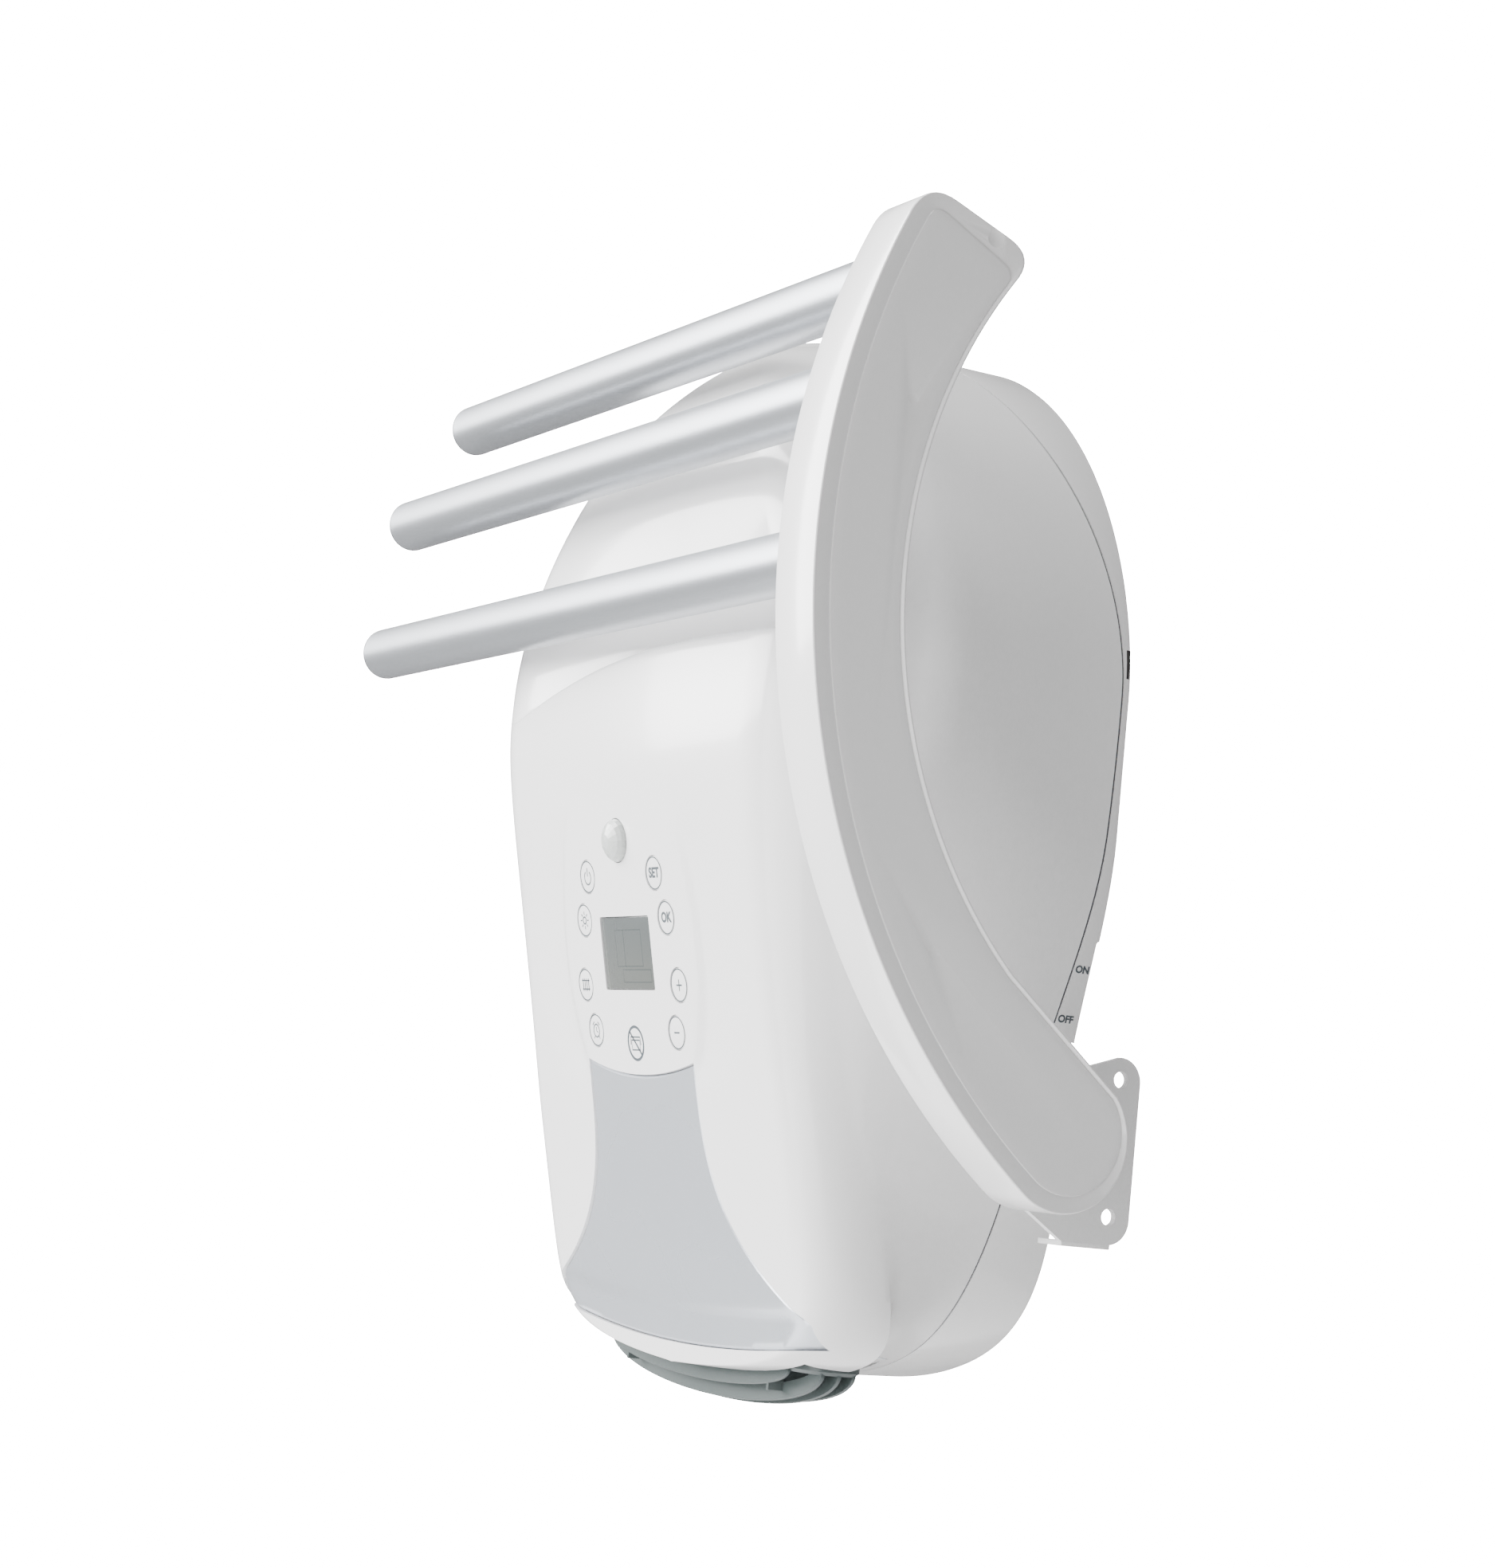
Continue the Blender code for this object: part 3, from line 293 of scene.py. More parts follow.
FLOOR = Finish("pale_floor", (0.86, 0.86, 0.86), (0.82, 0.82, 0.82), (0.6, 0.7), grain=60.0,
               relief=0.05 * MM)
SLOT_FINISH = {
    "gloss_white": WHITE, "silver_paint": SILVER, "grille_grey": GRILLE, "satin_aluminium": ALUMINIUM,
    "black_plastic": BLACK, "steel_white": COATED, "zinc_steel": ZINC, "rubber": RUBBER, "board_green": BOARD,
    "filter_mesh": MESH, "fan_grey": FAN_GREY, "heater_alloy": FINS, "bronze": BRONZE, "display_glass": BLACK,
    "lens_white": WHITE,
}


@dataclass(frozen=True)
class LensFinish:
    """Milky lens plastic that lets a little of the sensor's grey through."""

    name: str = "milky_lens"

    def material(self) -> bpy.types.Material:
        """Build the lens plastic."""
        book = Book(self.name)
        cells = book.node("ShaderNodeTexVoronoi", {}, {"Vector": book.place(), "Scale": 420.0})
        cloud = book.noise(160.0, 2.0)
        tint = book.mix(cells * 60.0 * cloud, (0.36, 0.385, 0.37), (0.50, 0.525, 0.51))
        book.shader.inputs["Coat Weight"].default_value = 0.5
        book.shader.inputs["Coat Roughness"].default_value = 0.08
        return book.dress(Base_Color=tint, Roughness=cloud * 0.1 + 0.22, Normal=book.bump(cloud, 0.05 * MM))


@dataclass(frozen=True)
class DisplayFinish:
    """A switched-off liquid crystal display seen through its clear window, with painted shading that darkens
    it towards the top.
    """

    name: str = "display_face"
    # Colour at the top of the display's painted shading, its darkest part.
    shaded_ground: Point = (0.082, 0.092, 0.092)

    def material(self, middle_z: float) -> bpy.types.Material:
        """Build the display, with its faint field outlines about a height.

        Args:
            middle_z: height of the window's middle.

        Returns:
            The material.
        """
        book = Book(self.name)
        x, _, z = book.axes()
        z = z - middle_z
        line = 0.25 * MM
        soft = 0.2 * MM
        frame_x = (x - 1 * MM).band(0.0, 11 * MM, soft) * z.band(2 * MM, 7 * MM, soft)
        inner_x = (x - 1 * MM).band(0.0, 11 * MM - 2 * line, soft) * z.band(2 * MM, 7 * MM - 2 * line, soft)
        lower = x.band(6 * MM, 12 * MM, soft) * z.band(-8.5 * MM, 2.5 * MM, soft)
        lower_in = x.band(6 * MM, 12 * MM - 2 * line, soft) * z.band(-8.5 * MM, 2.5 * MM - 2 * line, soft)
        split = (x + 3 * MM).band(0.0, line, soft) * frame_x
        marks = (frame_x - inner_x) + (lower - lower_in) + split
        # Painted shading: the ground runs from lighter at the bottom to darker at the top.
        shaded_ground = book.mix(z.ramp(-13 * MM, 13 * MM), (0.105, 0.112, 0.105), self.shaded_ground)
        book.shader.inputs["Coat Weight"].default_value = 0.6
        book.shader.inputs["Coat Roughness"].default_value = 0.03
        return book.dress(Base_Color=book.mix(marks * 0.55, shaded_ground, (0.045, 0.055, 0.055)), Roughness=0.16,
                          Normal=book.bump(book.noise(900.0), 0.004 * MM))


# ---- Mesh tools ----------------------------------------------------------------------

def new_object(name: str, mesh: bpy.types.Mesh) -> bpy.types.Object:
    """Link a mesh to the scene as an object at the origin."""
    obj = bpy.data.objects.new(name, mesh)
    bpy.context.scene.collection.objects.link(obj)
    return obj


def finished(name: str, bm: bmesh.types.BMesh, crease: float = 35.0) -> bpy.types.Mesh:
    """Turn an edit mesh into a smooth-shaded mesh and free it.

    Args:
        name: the mesh's name.
        bm: the edit mesh.
        crease: edge angle in degrees above which shading is sharp.

    Returns:
        The mesh.
    """
    mesh = bpy.data.meshes.new(name)
    bm.to_mesh(mesh)
    bm.free()
    shade(mesh, crease)
    return mesh


def mesh_of(name: str, points: Sequence[Point], faces: Sequence[Sequence[int]], merge: float = 0.0,
            crease: float = 35.0, closed: bool = True) -> bpy.types.Mesh:
    """Make a smooth-shaded mesh from points and faces.

    Args:
        name: the mesh's name.
        points: vertex places in metres.
        faces: vertex numbers of each face.
        merge: distance under which vertices become one.
        crease: edge angle in degrees above which shading is sharp.
        closed: whether the normals can be worked out from the closed surface.

    Returns:
        The mesh.
    """
    bm = bmesh.new()
    verts = [bm.verts.new(point) for point in points]
    for face in faces:
        bm.faces.new([verts[k] for k in face])
    if merge:
        bmesh.ops.remove_doubles(bm, verts=bm.verts, dist=merge)
        bmesh.ops.dissolve_degenerate(bm, edges=bm.edges, dist=merge * 0.1)
    if closed:
        bmesh.ops.recalc_face_normals(bm, faces=bm.faces)
    return finished(name, bm, crease)


def shade(mesh: bpy.types.Mesh, crease: float = 35.0) -> None:
    """Shade smooth, with sharp edges over an angle in degrees."""
    mesh.shade_smooth()
    mesh.set_sharp_from_angle(angle=math.radians(crease))


def rings(loops: Sequence[Sequence[Point]], caps: bool = True) -> tuple[list[Point], list[list[int]]]:
    """Join equal closed loops of points into a tube.

    Args:
        loops: the loops, in order.
        caps: whether to close the first and last loop with a face.

    Returns:
        Points and faces.
    """
    size = len(loops[0])
    points = [point for loop in loops for point in loop]
    faces = []
    for row in range(len(loops) - 1):
        low, high = row * size, (row + 1) * size
        faces += [[low + k, low + (k + 1) % size, high + (k + 1) % size, high + k] for k in range(size)]
    if caps:
        faces.append(list(range(size))[::-1])
        faces.append([(len(loops) - 1) * size + k for k in range(size)])
    return points, faces


def slab(outer: list[list[Point]], inner: list[list[Point]],
         ends: bool = True) -> tuple[list[Point], list[list[int]]]:
    """Close two equal sheets of rows of points into a wall.

    Args:
        outer: rows of one sheet.
        inner: rows of the other.
        ends: whether the first and last rows need a rim; a row that folds onto itself doesn't.

    Returns:
        Points and faces.
    """
    rows, cols = len(outer), len(outer[0])
    points = [p for row in outer for p in row] + [p for row in inner for p in row]
    back = rows * cols
    faces = []
    for r in range(rows - 1):
        for c in range(cols - 1):
            a = r * cols + c
            quad = [a, a + 1, a + cols + 1, a + cols]
            faces.append(quad)
            faces.append([back + k for k in quad[::-1]])
    edge = [(r * cols, (r + 1) * cols) for r in range(rows - 1)]
    edge += [((r + 1) * cols - 1, (r + 2) * cols - 1) for r in range(rows - 1)]
    if ends:
        edge += [(c, c + 1) for c in range(cols - 1)]
        edge += [((rows - 1) * cols + c, (rows - 1) * cols + c + 1) for c in range(cols - 1)]
    faces += [[a, b, back + b, back + a] for a, b in edge]
    return points, faces


def turned(profile: Sequence[tuple[float, float]], place: Matrix, sides: int = 48) -> tuple[list, list]:
    """Turn a profile about the local Y axis.

    Args:
        profile: pairs of radius and depth.
        place: matrix that moves the result.
        sides: number of sides.

    Returns:
        Points and faces.
    """
    loops = []
    for radius, depth in profile:
        loops.append([tuple(place @ Vector((radius * math.cos(t), depth, radius * math.sin(t))))
                      for t in (2 * math.pi * k / sides for k in range(sides))])
    return rings(loops)


def box_mesh(name: str, low: Point, high: Point, bevel: float = 0.0, place: Matrix | None = None,
             segments: int = 3) -> bpy.types.Mesh:
    """Make a box between two corners.

    Args:
        name: the mesh's name.
        low: its lowest corner.
        high: its highest corner.
        bevel: size of its rounded edges.
        place: matrix that moves it.
        segments: steps in each rounded edge.

    Returns:
        The mesh.
    """
    bm = bmesh.new()
    low, high = Vector(low), Vector(high)
    scale = Matrix.Diagonal((*(high - low), 1))
    bmesh.ops.create_cube(bm, size=1, matrix=Matrix.Translation((low + high) / 2) @ scale)
    if bevel:
        bmesh.ops.bevel(bm, geom=bm.edges[:], offset=bevel, segments=segments, profile=0.5, affect="EDGES")
    if place is not None:
        bm.transform(place)
    return finished(name, bm)


def cylinder_mesh(name: str, centre: Point, radius: float, length: float, axis: str = "X",
                  sides: int = 48, place: Matrix | None = None) -> bpy.types.Mesh:
    """Make a cylinder.

    Args:
        name: the mesh's name.
        centre: its centre.
        radius: its radius.
        length: its length.
        axis: X, Y or Z.
        sides: number of sides.
        place: matrix that moves it.

    Returns:
        The mesh.
    """
    turn = {"X": Matrix.Rotation(math.pi / 2, 4, "Y"), "Y": Matrix.Rotation(-math.pi / 2, 4, "X"),
            "Z": Matrix.Identity(4)}[axis]
    bm = bmesh.new()
    bmesh.ops.create_cone(bm, cap_ends=True, segments=sides, radius1=radius, radius2=radius, depth=length,
                          matrix=(place or Matrix.Identity(4)) @ Matrix.Translation(centre) @ turn)
    return finished(name, bm)


def join_meshes(name: str, parts: Sequence[bpy.types.Mesh]) -> bpy.types.Mesh:
    """Put several meshes into one."""
    bm = bmesh.new()
    for part in parts:
        bm.from_mesh(part)
    return finished(name, bm)


def boolean(mesh: bpy.types.Mesh, cutters: Sequence[bpy.types.Mesh], operation: str = "DIFFERENCE",
            crease: float = 30.0) -> bpy.types.Mesh:
    """Cut meshes out of a mesh, or join them on.

    Args:
        mesh: the mesh to change.
        cutters: meshes that don't overlap one another.
        operation: DIFFERENCE or UNION.
        crease: edge angle in degrees above which shading is sharp.

    Returns:
        The changed mesh.
    """
    target = new_object("work", mesh)
    tool = new_object("tool", join_meshes("tool", cutters))
    step = target.modifiers.new("cut", "BOOLEAN")
    step.operation = operation
    step.solver = "EXACT"
    step.object = tool
    result = baked(target)
    bpy.data.objects.remove(tool)
    shade(result, crease)
    return result


def baked(obj: bpy.types.Object) -> bpy.types.Mesh:
    """The object's evaluated mesh as a plain mesh; the object is removed."""
    graph = bpy.context.evaluated_depsgraph_get()
    graph.update()
    mesh = bpy.data.meshes.new_from_object(obj.evaluated_get(graph))
    bpy.data.objects.remove(obj)
    return mesh


def piece(name: str, mesh: bpy.types.Mesh, material: bpy.types.Material, body: str, slot: str,
          *nodes: str) -> bpy.types.Object:
    """Finish one visible piece.

    Args:
        name: the piece's name.
        mesh: its mesh, in place.
        material: its material.
        body: the body it rides on.
        slot: the record's slot for its finish; not used.
        nodes: CAD nodes it stands for.

    Returns:
        The piece.
    """
    mesh.materials.clear()
    mesh.materials.append(material)
    obj = new_object(name, mesh)
    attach(obj, body)
    if nodes:
        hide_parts(*nodes)
        REPLACED.extend(nodes)
    log.info("%s: %d faces on %s", name, len(mesh.polygons), body)
    return obj


# ---- Housing form --------------------------------------------------------------------

@dataclass(frozen=True)
class HousingForm:
    """The housing's outer surface as functions of place, in metres."""

    half_width: float = 139 * MM
    widest_z: float = 35 * MM
    top_z: float = 178 * MM
    bottom_z: float = -228 * MM
    taper: float = 0.13
    front_y: float = -147 * MM
    lean: float = 0.245
    bend_z: float = 20 * MM
    softness: float = 35 * MM
    dome: float = 90 * MM
    crown: float = 0.35
    seam_y: float = -7 * MM
    rim_y: float = -3.5 * MM
    back_y: float = -6 * MM
    wall: float = 2.6 * MM
    gap: float = 0.4 * MM
    seam_gap: float = 0.9 * MM
    lip_z: float = 41.5 * MM
    lip_crest_x: float = 60 * MM
    scoop_top_z: float = 108 * MM
    scoop_depth: float = 17 * MM
    tilt: float = math.radians(13)

    def width_at(self, z: float, y: float) -> float:
        """Half the housing's width at a height and depth."""
        if z >= self.widest_z:
            t = min((z - self.widest_z) / (self.top_z - self.widest_z), 1.0)
            return self.half_width * (1 - t ** 1.75) ** 0.526
        t = min((self.widest_z - z) / (self.widest_z - self.bottom_z), 1.0)
        rear = (1 - t ** 11) ** 0.556
        front = (1 - t ** 30) ** 0.5
        back = smooth((y + 0.100) / 0.095)
        narrow = 1 - self.taper * smooth(blend(t / 0.6, (t - 0.2) / 0.4, back))
        return self.half_width * narrow * blend(front, rear, back)

    def front_line(self, z: float) -> float:
        """Depth of the front face on the plane of symmetry."""
        if z > self.bend_z:
            t = min((z - self.bend_z) / (self.top_z - self.bend_z), 1.0)
            return self.front_y + self.dome * (1 - (1 - t * t) ** 0.357)
        fall = self.bend_z - z
        return self.front_y + self.lean * (math.hypot(fall, self.softness) - self.softness)

    def seam(self, z: float) -> float:
        """Depth of the joint between the shells."""
        rise = z - 30 * MM
        return self.seam_y - (1.65 if rise > 0 else 0.6) * rise * rise

    def corner(self, z: float) -> tuple[float, float]:
        """Width and depth of the rounding between the front and the sides."""
        t = smooth((z + 0.140) / 0.140)
        wide = min(blend(23, 40, t) * MM, self.width_at(z, self.front_y))
        return wide, min(blend(26, 50, t) * MM, 0.92 * (self.seam(z) - self.front_line(z)))

    def surface(self, x: float, z: float) -> float:
        """Depth of the plain front face at a point seen from the front."""
        wide, deep = self.corner(z)
        past = abs(x) - (self.width_at(z, self.front_y) - wide)
        turn = deep * (1 - math.sqrt(max(0.0, 1 - min(past / wide, 1.0) ** 2))) if past > 0 else 0.0
        return self.front_line(z) + self.crown * x * x + turn

    def on_face(self, x: float, z: float, depth: float = 0.0) -> Vector:
        """A point of the control area, moved inwards along the face's normal."""
        return Vector((x, self.surface(x, z) + depth * math.cos(self.tilt), z + depth * math.sin(self.tilt)))

    def face_place(self, x: float, z: float, depth: float = 0.0) -> Matrix:
        """Turn and move something made upright, facing -Y, onto the control area."""
        return Matrix.Translation(self.on_face(x, z, depth)) @ Matrix.Rotation(self.tilt, 4, "X")

    def lip_drop(self, x: float) -> float:
        """How far the lip has fallen below its crest."""
        away = (self.lip_crest_x - x) / self.lip_crest_x
        return (3.1 if away > 0 else 1.2) * MM * away * away


class FrontShell:
    """Glossy front shell with the scoop, the control area and every opening."""

    face_steps, corner_steps, side_steps = 44, 16, 12
    lip_profile = ((-2.4, 0.0), (-1.3, 0.012), (-0.6, 0.045), (-0.2, 0.10), (0.0, 0.17), (0.15, 0.40),
                   (0.3, 0.70), (0.55, 0.90), (1.1, 0.975), (2.2, 1.0))

    def __init__(self, form: HousingForm) -> None:
        """Remember the form."""
        self.form = form

    def levels(self) -> list[tuple[float, float]]:
        """Row heights with the share of the scoop's depth at each."""
        form = self.form
        foot = [form.bottom_z + 36 * MM * (1 - math.cos(math.pi / 2 * k / 26)) for k in range(27)]
        last = form.lip_z + self.lip_profile[0][0] * MM
        flank = [blend(foot[-1], last, k / 62) for k in range(1, 62)]
        rows = [(z, 0.0) for z in foot + flank]
        rows += [(form.lip_z + rise * MM, share) for rise, share in self.lip_profile]
        start = rows[-1][0]
        high = form.scoop_top_z + 20 * MM
        for k in range(1, 33):
            z = blend(start, high, k / 32)
            rows.append((z, self.dish((z - start) / (form.scoop_top_z - start))))
        crown = [form.top_z - 50 * MM * (1 - math.cos(math.pi / 2 * k / 28)) for k in range(28, -1, -1)]
        return rows + [(z, 0.0) for z in crown if z > high + 0.2 * MM]

    @staticmethod
    def dish(t: float) -> float:
        """Share of the scoop's depth at a share of the way from the lip to its upper edge."""
        if t >= 1.06:
            return 0.0
        line = 1 - t
        return line if t < 0.9 else 0.1 * (1 - smooth((t - 0.86) / 0.2)) * 1.2

    def fade(self, x: float) -> float:
        """How much of the scoop there is across the front: it runs out to the left."""
        return smooth((x + 112 * MM) / (132 * MM)) * max(0.0, 1 - (max(x, 0.0) / (122 * MM)) ** 4)

    def relief(self, x: float, y: float, z: float, side: float) -> Point:
        """Shallow modelling on the plain shell: the control pod's edge and the hollow in the right flank."""
        edge = 56.5 * MM - 0.0066 / MM * (z + 76 * MM) ** 2 * (1.0 if z < -76 * MM else 0.6)
        beyond = abs(x) - edge
        fade = smooth((z + 124 * MM) / (12 * MM)) * smooth((-14 * MM - z) / (34 * MM))
        outside = smooth((beyond + 1 * MM) / (3 * MM)) * (1 - smooth((beyond - 4 * MM) / (30 * MM)))
        pod = 1.3 * MM * outside * fade
        hollow = 0.0
        if side > 0 and x > 90 * MM:
            along = (z - 42 * MM) / (66 * MM)
            rear = -79.5 * MM - 6 * MM * along * along
            t = (rear - y) / (34 * MM)
            if abs(along) < 1 and 0 < t < 1.6:
                depth = smooth(t / 0.45) * (1 - smooth((t - 0.8) / 0.8))
                hollow = 6 * MM * (1 - along * along) ** 1.5 * depth
        return x - side * hollow, y + pod, z

    def row(self, z0: float, share: float, plain: bool) -> list[Point]:
        """One row from the left seam to the right seam.

        Args:
            z0: the row's height at the lip's crest.
            share: share of the scoop's depth.
            plain: leave out the scoop and the shallow modelling.

        Returns:
            The row's points.
        """
        form = self.form
        last = self.face_steps + self.corner_steps + self.side_steps
        near = max(0.0, 1 - abs(z0 - form.lip_z) / (70 * MM))
        points = []
        for signed in range(-last, last + 1):
            side, step = math.copysign(1, signed), abs(signed)
            spread = min(step / self.face_steps, 1.0)
            z = z0 - near * form.lip_drop(side * spread * (form.half_width - 40 * MM))
            wide, deep = form.corner(z)
            width = form.width_at(z, form.front_y)
            front = form.front_line(z)
            seam = form.seam(z) - form.seam_gap
            if step <= self.face_steps:
                x, y = (width - wide) * spread, front
            elif step <= self.face_steps + self.corner_steps:
                angle = math.pi / 2 * (step - self.face_steps) / self.corner_steps
                x, y = width - wide + wide * math.sin(angle), front + deep * (1 - math.cos(angle))
            else:
                y = blend(front + deep, seam, (step - self.face_steps - self.corner_steps) / self.side_steps)
                x = form.width_at(z, y)
            inward = smooth((y - front - deep) / max(seam - front - deep, MM))
            y += form.crown * x * x * (1 - inward)
            point = (side * x, y, z)
            if not plain:
                point = self.relief(side * x, y + form.scoop_depth * share * self.fade(side * x), z, side)
            points.append((point[0], min(point[1], seam), point[2]))
        return points

    def sheets(self) -> tuple[list[list[Point]], list[list[Point]]]:
        """The outer surface and the surface one wall thickness inside it."""
        levels = self.levels()
        outer = [self.row(z, share, False) for z, share in levels]
        plain = [self.row(z, share, True) for z, share in levels]
        inner = []
        for r, (z0, _) in enumerate(levels):
            step = self.form.wall * (1 - smooth((abs(z0 - self.form.lip_z - 0.5 * MM) - 3 * MM) / (5 * MM)))
            line = []
            for c, point in enumerate(outer[r]):
                a, b = plain[min(r + 1, len(plain) - 1)][c], plain[max(r - 1, 0)][c]
                left, right = plain[r][max(c - 1, 0)], plain[r][min(c + 1, len(plain[r]) - 1)]
                out = (Vector(right) - Vector(left)).cross(Vector(a) - Vector(b))
                out = out.normalized() if out.length > 1e-12 else Vector((0, 0, math.copysign(1, z0)))
                place = Vector(point) - out * self.form.wall
                line.append((place.x, place.y, place.z - step))
            inner.append(line)
        for r in (0, -1):
            front = min(y for _, y, _ in outer[r]) + self.form.wall
            inner[r] = [(0.0, max(y, front), z - math.copysign(self.form.wall, z)) for _, y, z in outer[r]]
        return outer, inner

    def openings(self) -> list[bpy.types.Mesh]:
        """Solids to cut away."""
        form = self.form
        cuts = [panel_mesh("panel_cut", form, 0.3 * MM, -9 * MM, 5.5 * MM)]
        low, high = (Vector(corner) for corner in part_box("intake_grille"))
        cuts.append(box_mesh("intake_cut", (low.x - form.gap, -0.16, low.z - form.gap),
                             (high.x + form.gap, high.y + 0.01, high.z + form.gap)))
        cuts.append(box_mesh("window_cut", (-21 * MM, -0.012, -14.25 * MM), (21 * MM, 0.012, 14.25 * MM),
                             0.8 * MM, form.face_place(0, Controls.window_z)))
        cuts.append(cylinder_mesh("sensor_cut", (0, 0, 0), 8.7 * MM, 0.02, "Y", 64,
                                  form.face_place(0, Controls.sensor_z)))
        for key in Key:
            cuts.append(cylinder_mesh("key_cut", (0, 0, 0), 6.85 * MM, 0.016, "Y", 64,
                                      form.face_place(key.x, key.z)))
        low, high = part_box("outlet_grille")
        cuts.append(box_mesh("outlet_cut", (low.x - form.gap, low.y - form.gap, form.bottom_z - 0.01),
                             (high.x + form.gap, high.y + form.gap, form.bottom_z + 14 * MM)))
        return cuts

    def build(self) -> bpy.types.Object:
        """Build the shell."""
        outer, inner = self.sheets()
        points, faces = slab(outer, inner, ends=False)
        solid = mesh_of("front_shell", points, faces, merge=0.01 * MM)
        smooth_points, smooth_faces = grid_faces(outer)
        guide = SurfaceGuide(smooth_points, smooth_faces)
        mesh = solid
        for cutter in self.openings():
            mesh = boolean(mesh, [cutter])
        guide.apply(mesh, 24.0)
        return piece("front_cover", mesh, WHITE.material(), "housing", "gloss_white", "front_shell")


def grid_faces(rows: list[list[Point]]) -> tuple[list[Point], list[list[int]]]:
    """Points and faces of rows of points."""
    cols = len(rows[0])
    faces = [[r * cols + c, r * cols + c + 1, (r + 1) * cols + c + 1, (r + 1) * cols + c]
             for r in range(len(rows) - 1) for c in range(cols - 1)]
    return [point for row in rows for point in row], faces


class SurfaceGuide:
    """Smooth normals of a surface, for a mesh that was cut from it."""

    near = 0.05 * MM

    def __init__(self, points: list[Point], faces: list[list[int]]) -> None:
        """Build the guide surface's search tree and corner normals."""
        mesh = mesh_of("guide", points, faces, merge=0.01 * MM, crease=40.0, closed=False)
        mesh.calc_loop_triangles()
        self.points = [vert.co.copy() for vert in mesh.vertices]
        self.triangles = [tuple(tri.vertices) for tri in mesh.loop_triangles]
        corners = [corner.vector.copy() for corner in mesh.corner_normals]
        self.normals = [[corners[loop] for loop in tri.loops] for tri in mesh.loop_triangles]
        self.tree = BVHTree.FromPolygons(self.points, self.triangles)
        bpy.data.meshes.remove(mesh)

    def normal(self, place: Vector) -> tuple[Vector, float]:
        """The guide's normal at the nearest point, and the distance to it."""
        near, _, index, away = self.tree.find_nearest(place)
        a, b, c = (self.points[k] for k in self.triangles[index])
        weights = poly_3d_calc([a, b, c], near)
        total = Vector()
        for weight, normal in zip(weights, self.normals[index]):
            total += normal * weight
        return total.normalized(), away

    def apply(self, mesh: bpy.types.Mesh, limit: float) -> None:
        """Give faces that lie on the guide its normals.

        Args:
            mesh: the mesh to shade.
            limit: largest angle in degrees between a face and the guide.
        """
        own = [corner.vector.copy() for corner in mesh.corner_normals]
        reach = math.cos(math.radians(limit))
        for face in mesh.polygons:
            guide, away = self.normal(face.center)
            sign = 1.0 if guide.dot(face.normal) > 0 else -1.0
            if away > self.near or abs(guide.dot(face.normal)) < reach:
                continue
            for loop in face.loop_indices:
                place = mesh.vertices[mesh.loops[loop].vertex_index].co
                normal, _ = self.normal(blend(place, face.center, 0.001))
                normal = normal * sign
                if normal.dot(face.normal) > 0.5:
                    own[loop] = normal
        mesh.normals_split_custom_set(own)


def panel_mesh(name: str, form: HousingForm, grow: float, front: float, back: float,
               rim: float = 0.0) -> bpy.types.Mesh:
    """The silver panel's flaring sheet, between two depths from the front face.

    Args:
        name: the mesh's name.
        form: the housing's form.
        grow: how much larger than the panel.
        front: depth of its front.
        back: depth of its back.
        rim: width of a chamfer round its front.

    Returns:
        The mesh.
    """
    rows_up, cols = 48, 56
    sheets = []
    steps = ((front + rim, 0.0), (front, rim), (back, 0.0)) if rim else ((front, 0.0), (back, 0.0))
    for depth, inset in steps:
        sheet = []
        for k in range(rows_up + 1):
            v = k / rows_up
            z0 = blend(-213 * MM, -115 * MM, v)
            t = 1 - v
            width = min(44.6 * MM + 80 * MM * t ** 3.2, 103 * MM)
            width += grow * (1 + 2 * t * t) - inset * (1 + 1.2 * t)
            row = []
            for c in range(cols + 1):
                u = 2 * c / cols - 1
                x = u * width
                z = z0 - (1 - u * u) * (5.5 * MM * v ** 4 + 7 * MM * (1 - v) ** 4)
                reach = grow - inset
                z += reach * (smooth((v - 0.9) / 0.1) - smooth((0.1 - v) / 0.1))
                row.append((x, form.surface(x, z) + depth + DecorPanel.fold(z, x), z))
            sheet.append(row)
        sheets.append(sheet)
    if rim:
        edge, face, rear = sheets
        face = [edge[0]] + face + [edge[-1]]
        face = [[e[0]] + row + [e[-1]] for e, row in zip([edge[0]] + edge + [edge[-1]], face)]
        rear = [rear[0]] + rear + [rear[-1]]
        rear = [[row[0]] + row + [row[-1]] for row in rear]
        sheets = [face, rear]
    points, faces = slab(sheets[0], sheets[-1])
    return mesh_of(name, points, faces, merge=0.005 * MM)


class DecorPanel:
    """Silver panel under the controls, with a chamfered rim, a fold near its foot and a hidden flange."""

    @staticmethod
    def fold(z: float, x: float) -> float:
        """Depth added by the fold above the outlet."""
        line = -199 * MM - 7 * MM * (1 - (x / (112 * MM)) ** 2)
        return 0.9 * MM * smooth((line + 1.5 * MM - z) / (3 * MM))

    def build(self, form: HousingForm) -> bpy.types.Object:
        """Build the panel."""
        mesh = panel_mesh("silver_panel", form, -0.1 * MM, 0.5 * MM, 3.2 * MM, 0.9 * MM)
        mesh = join_meshes("silver_panel", [mesh, panel_mesh("flange", form, 1.6 * MM, 3 * MM, 4 * MM)])
        return piece("silver_panel", mesh, SILVER.material(), "housing", "silver_paint", "decor_panel")


# ---- Copies in a row -----------------------------------------------------------------

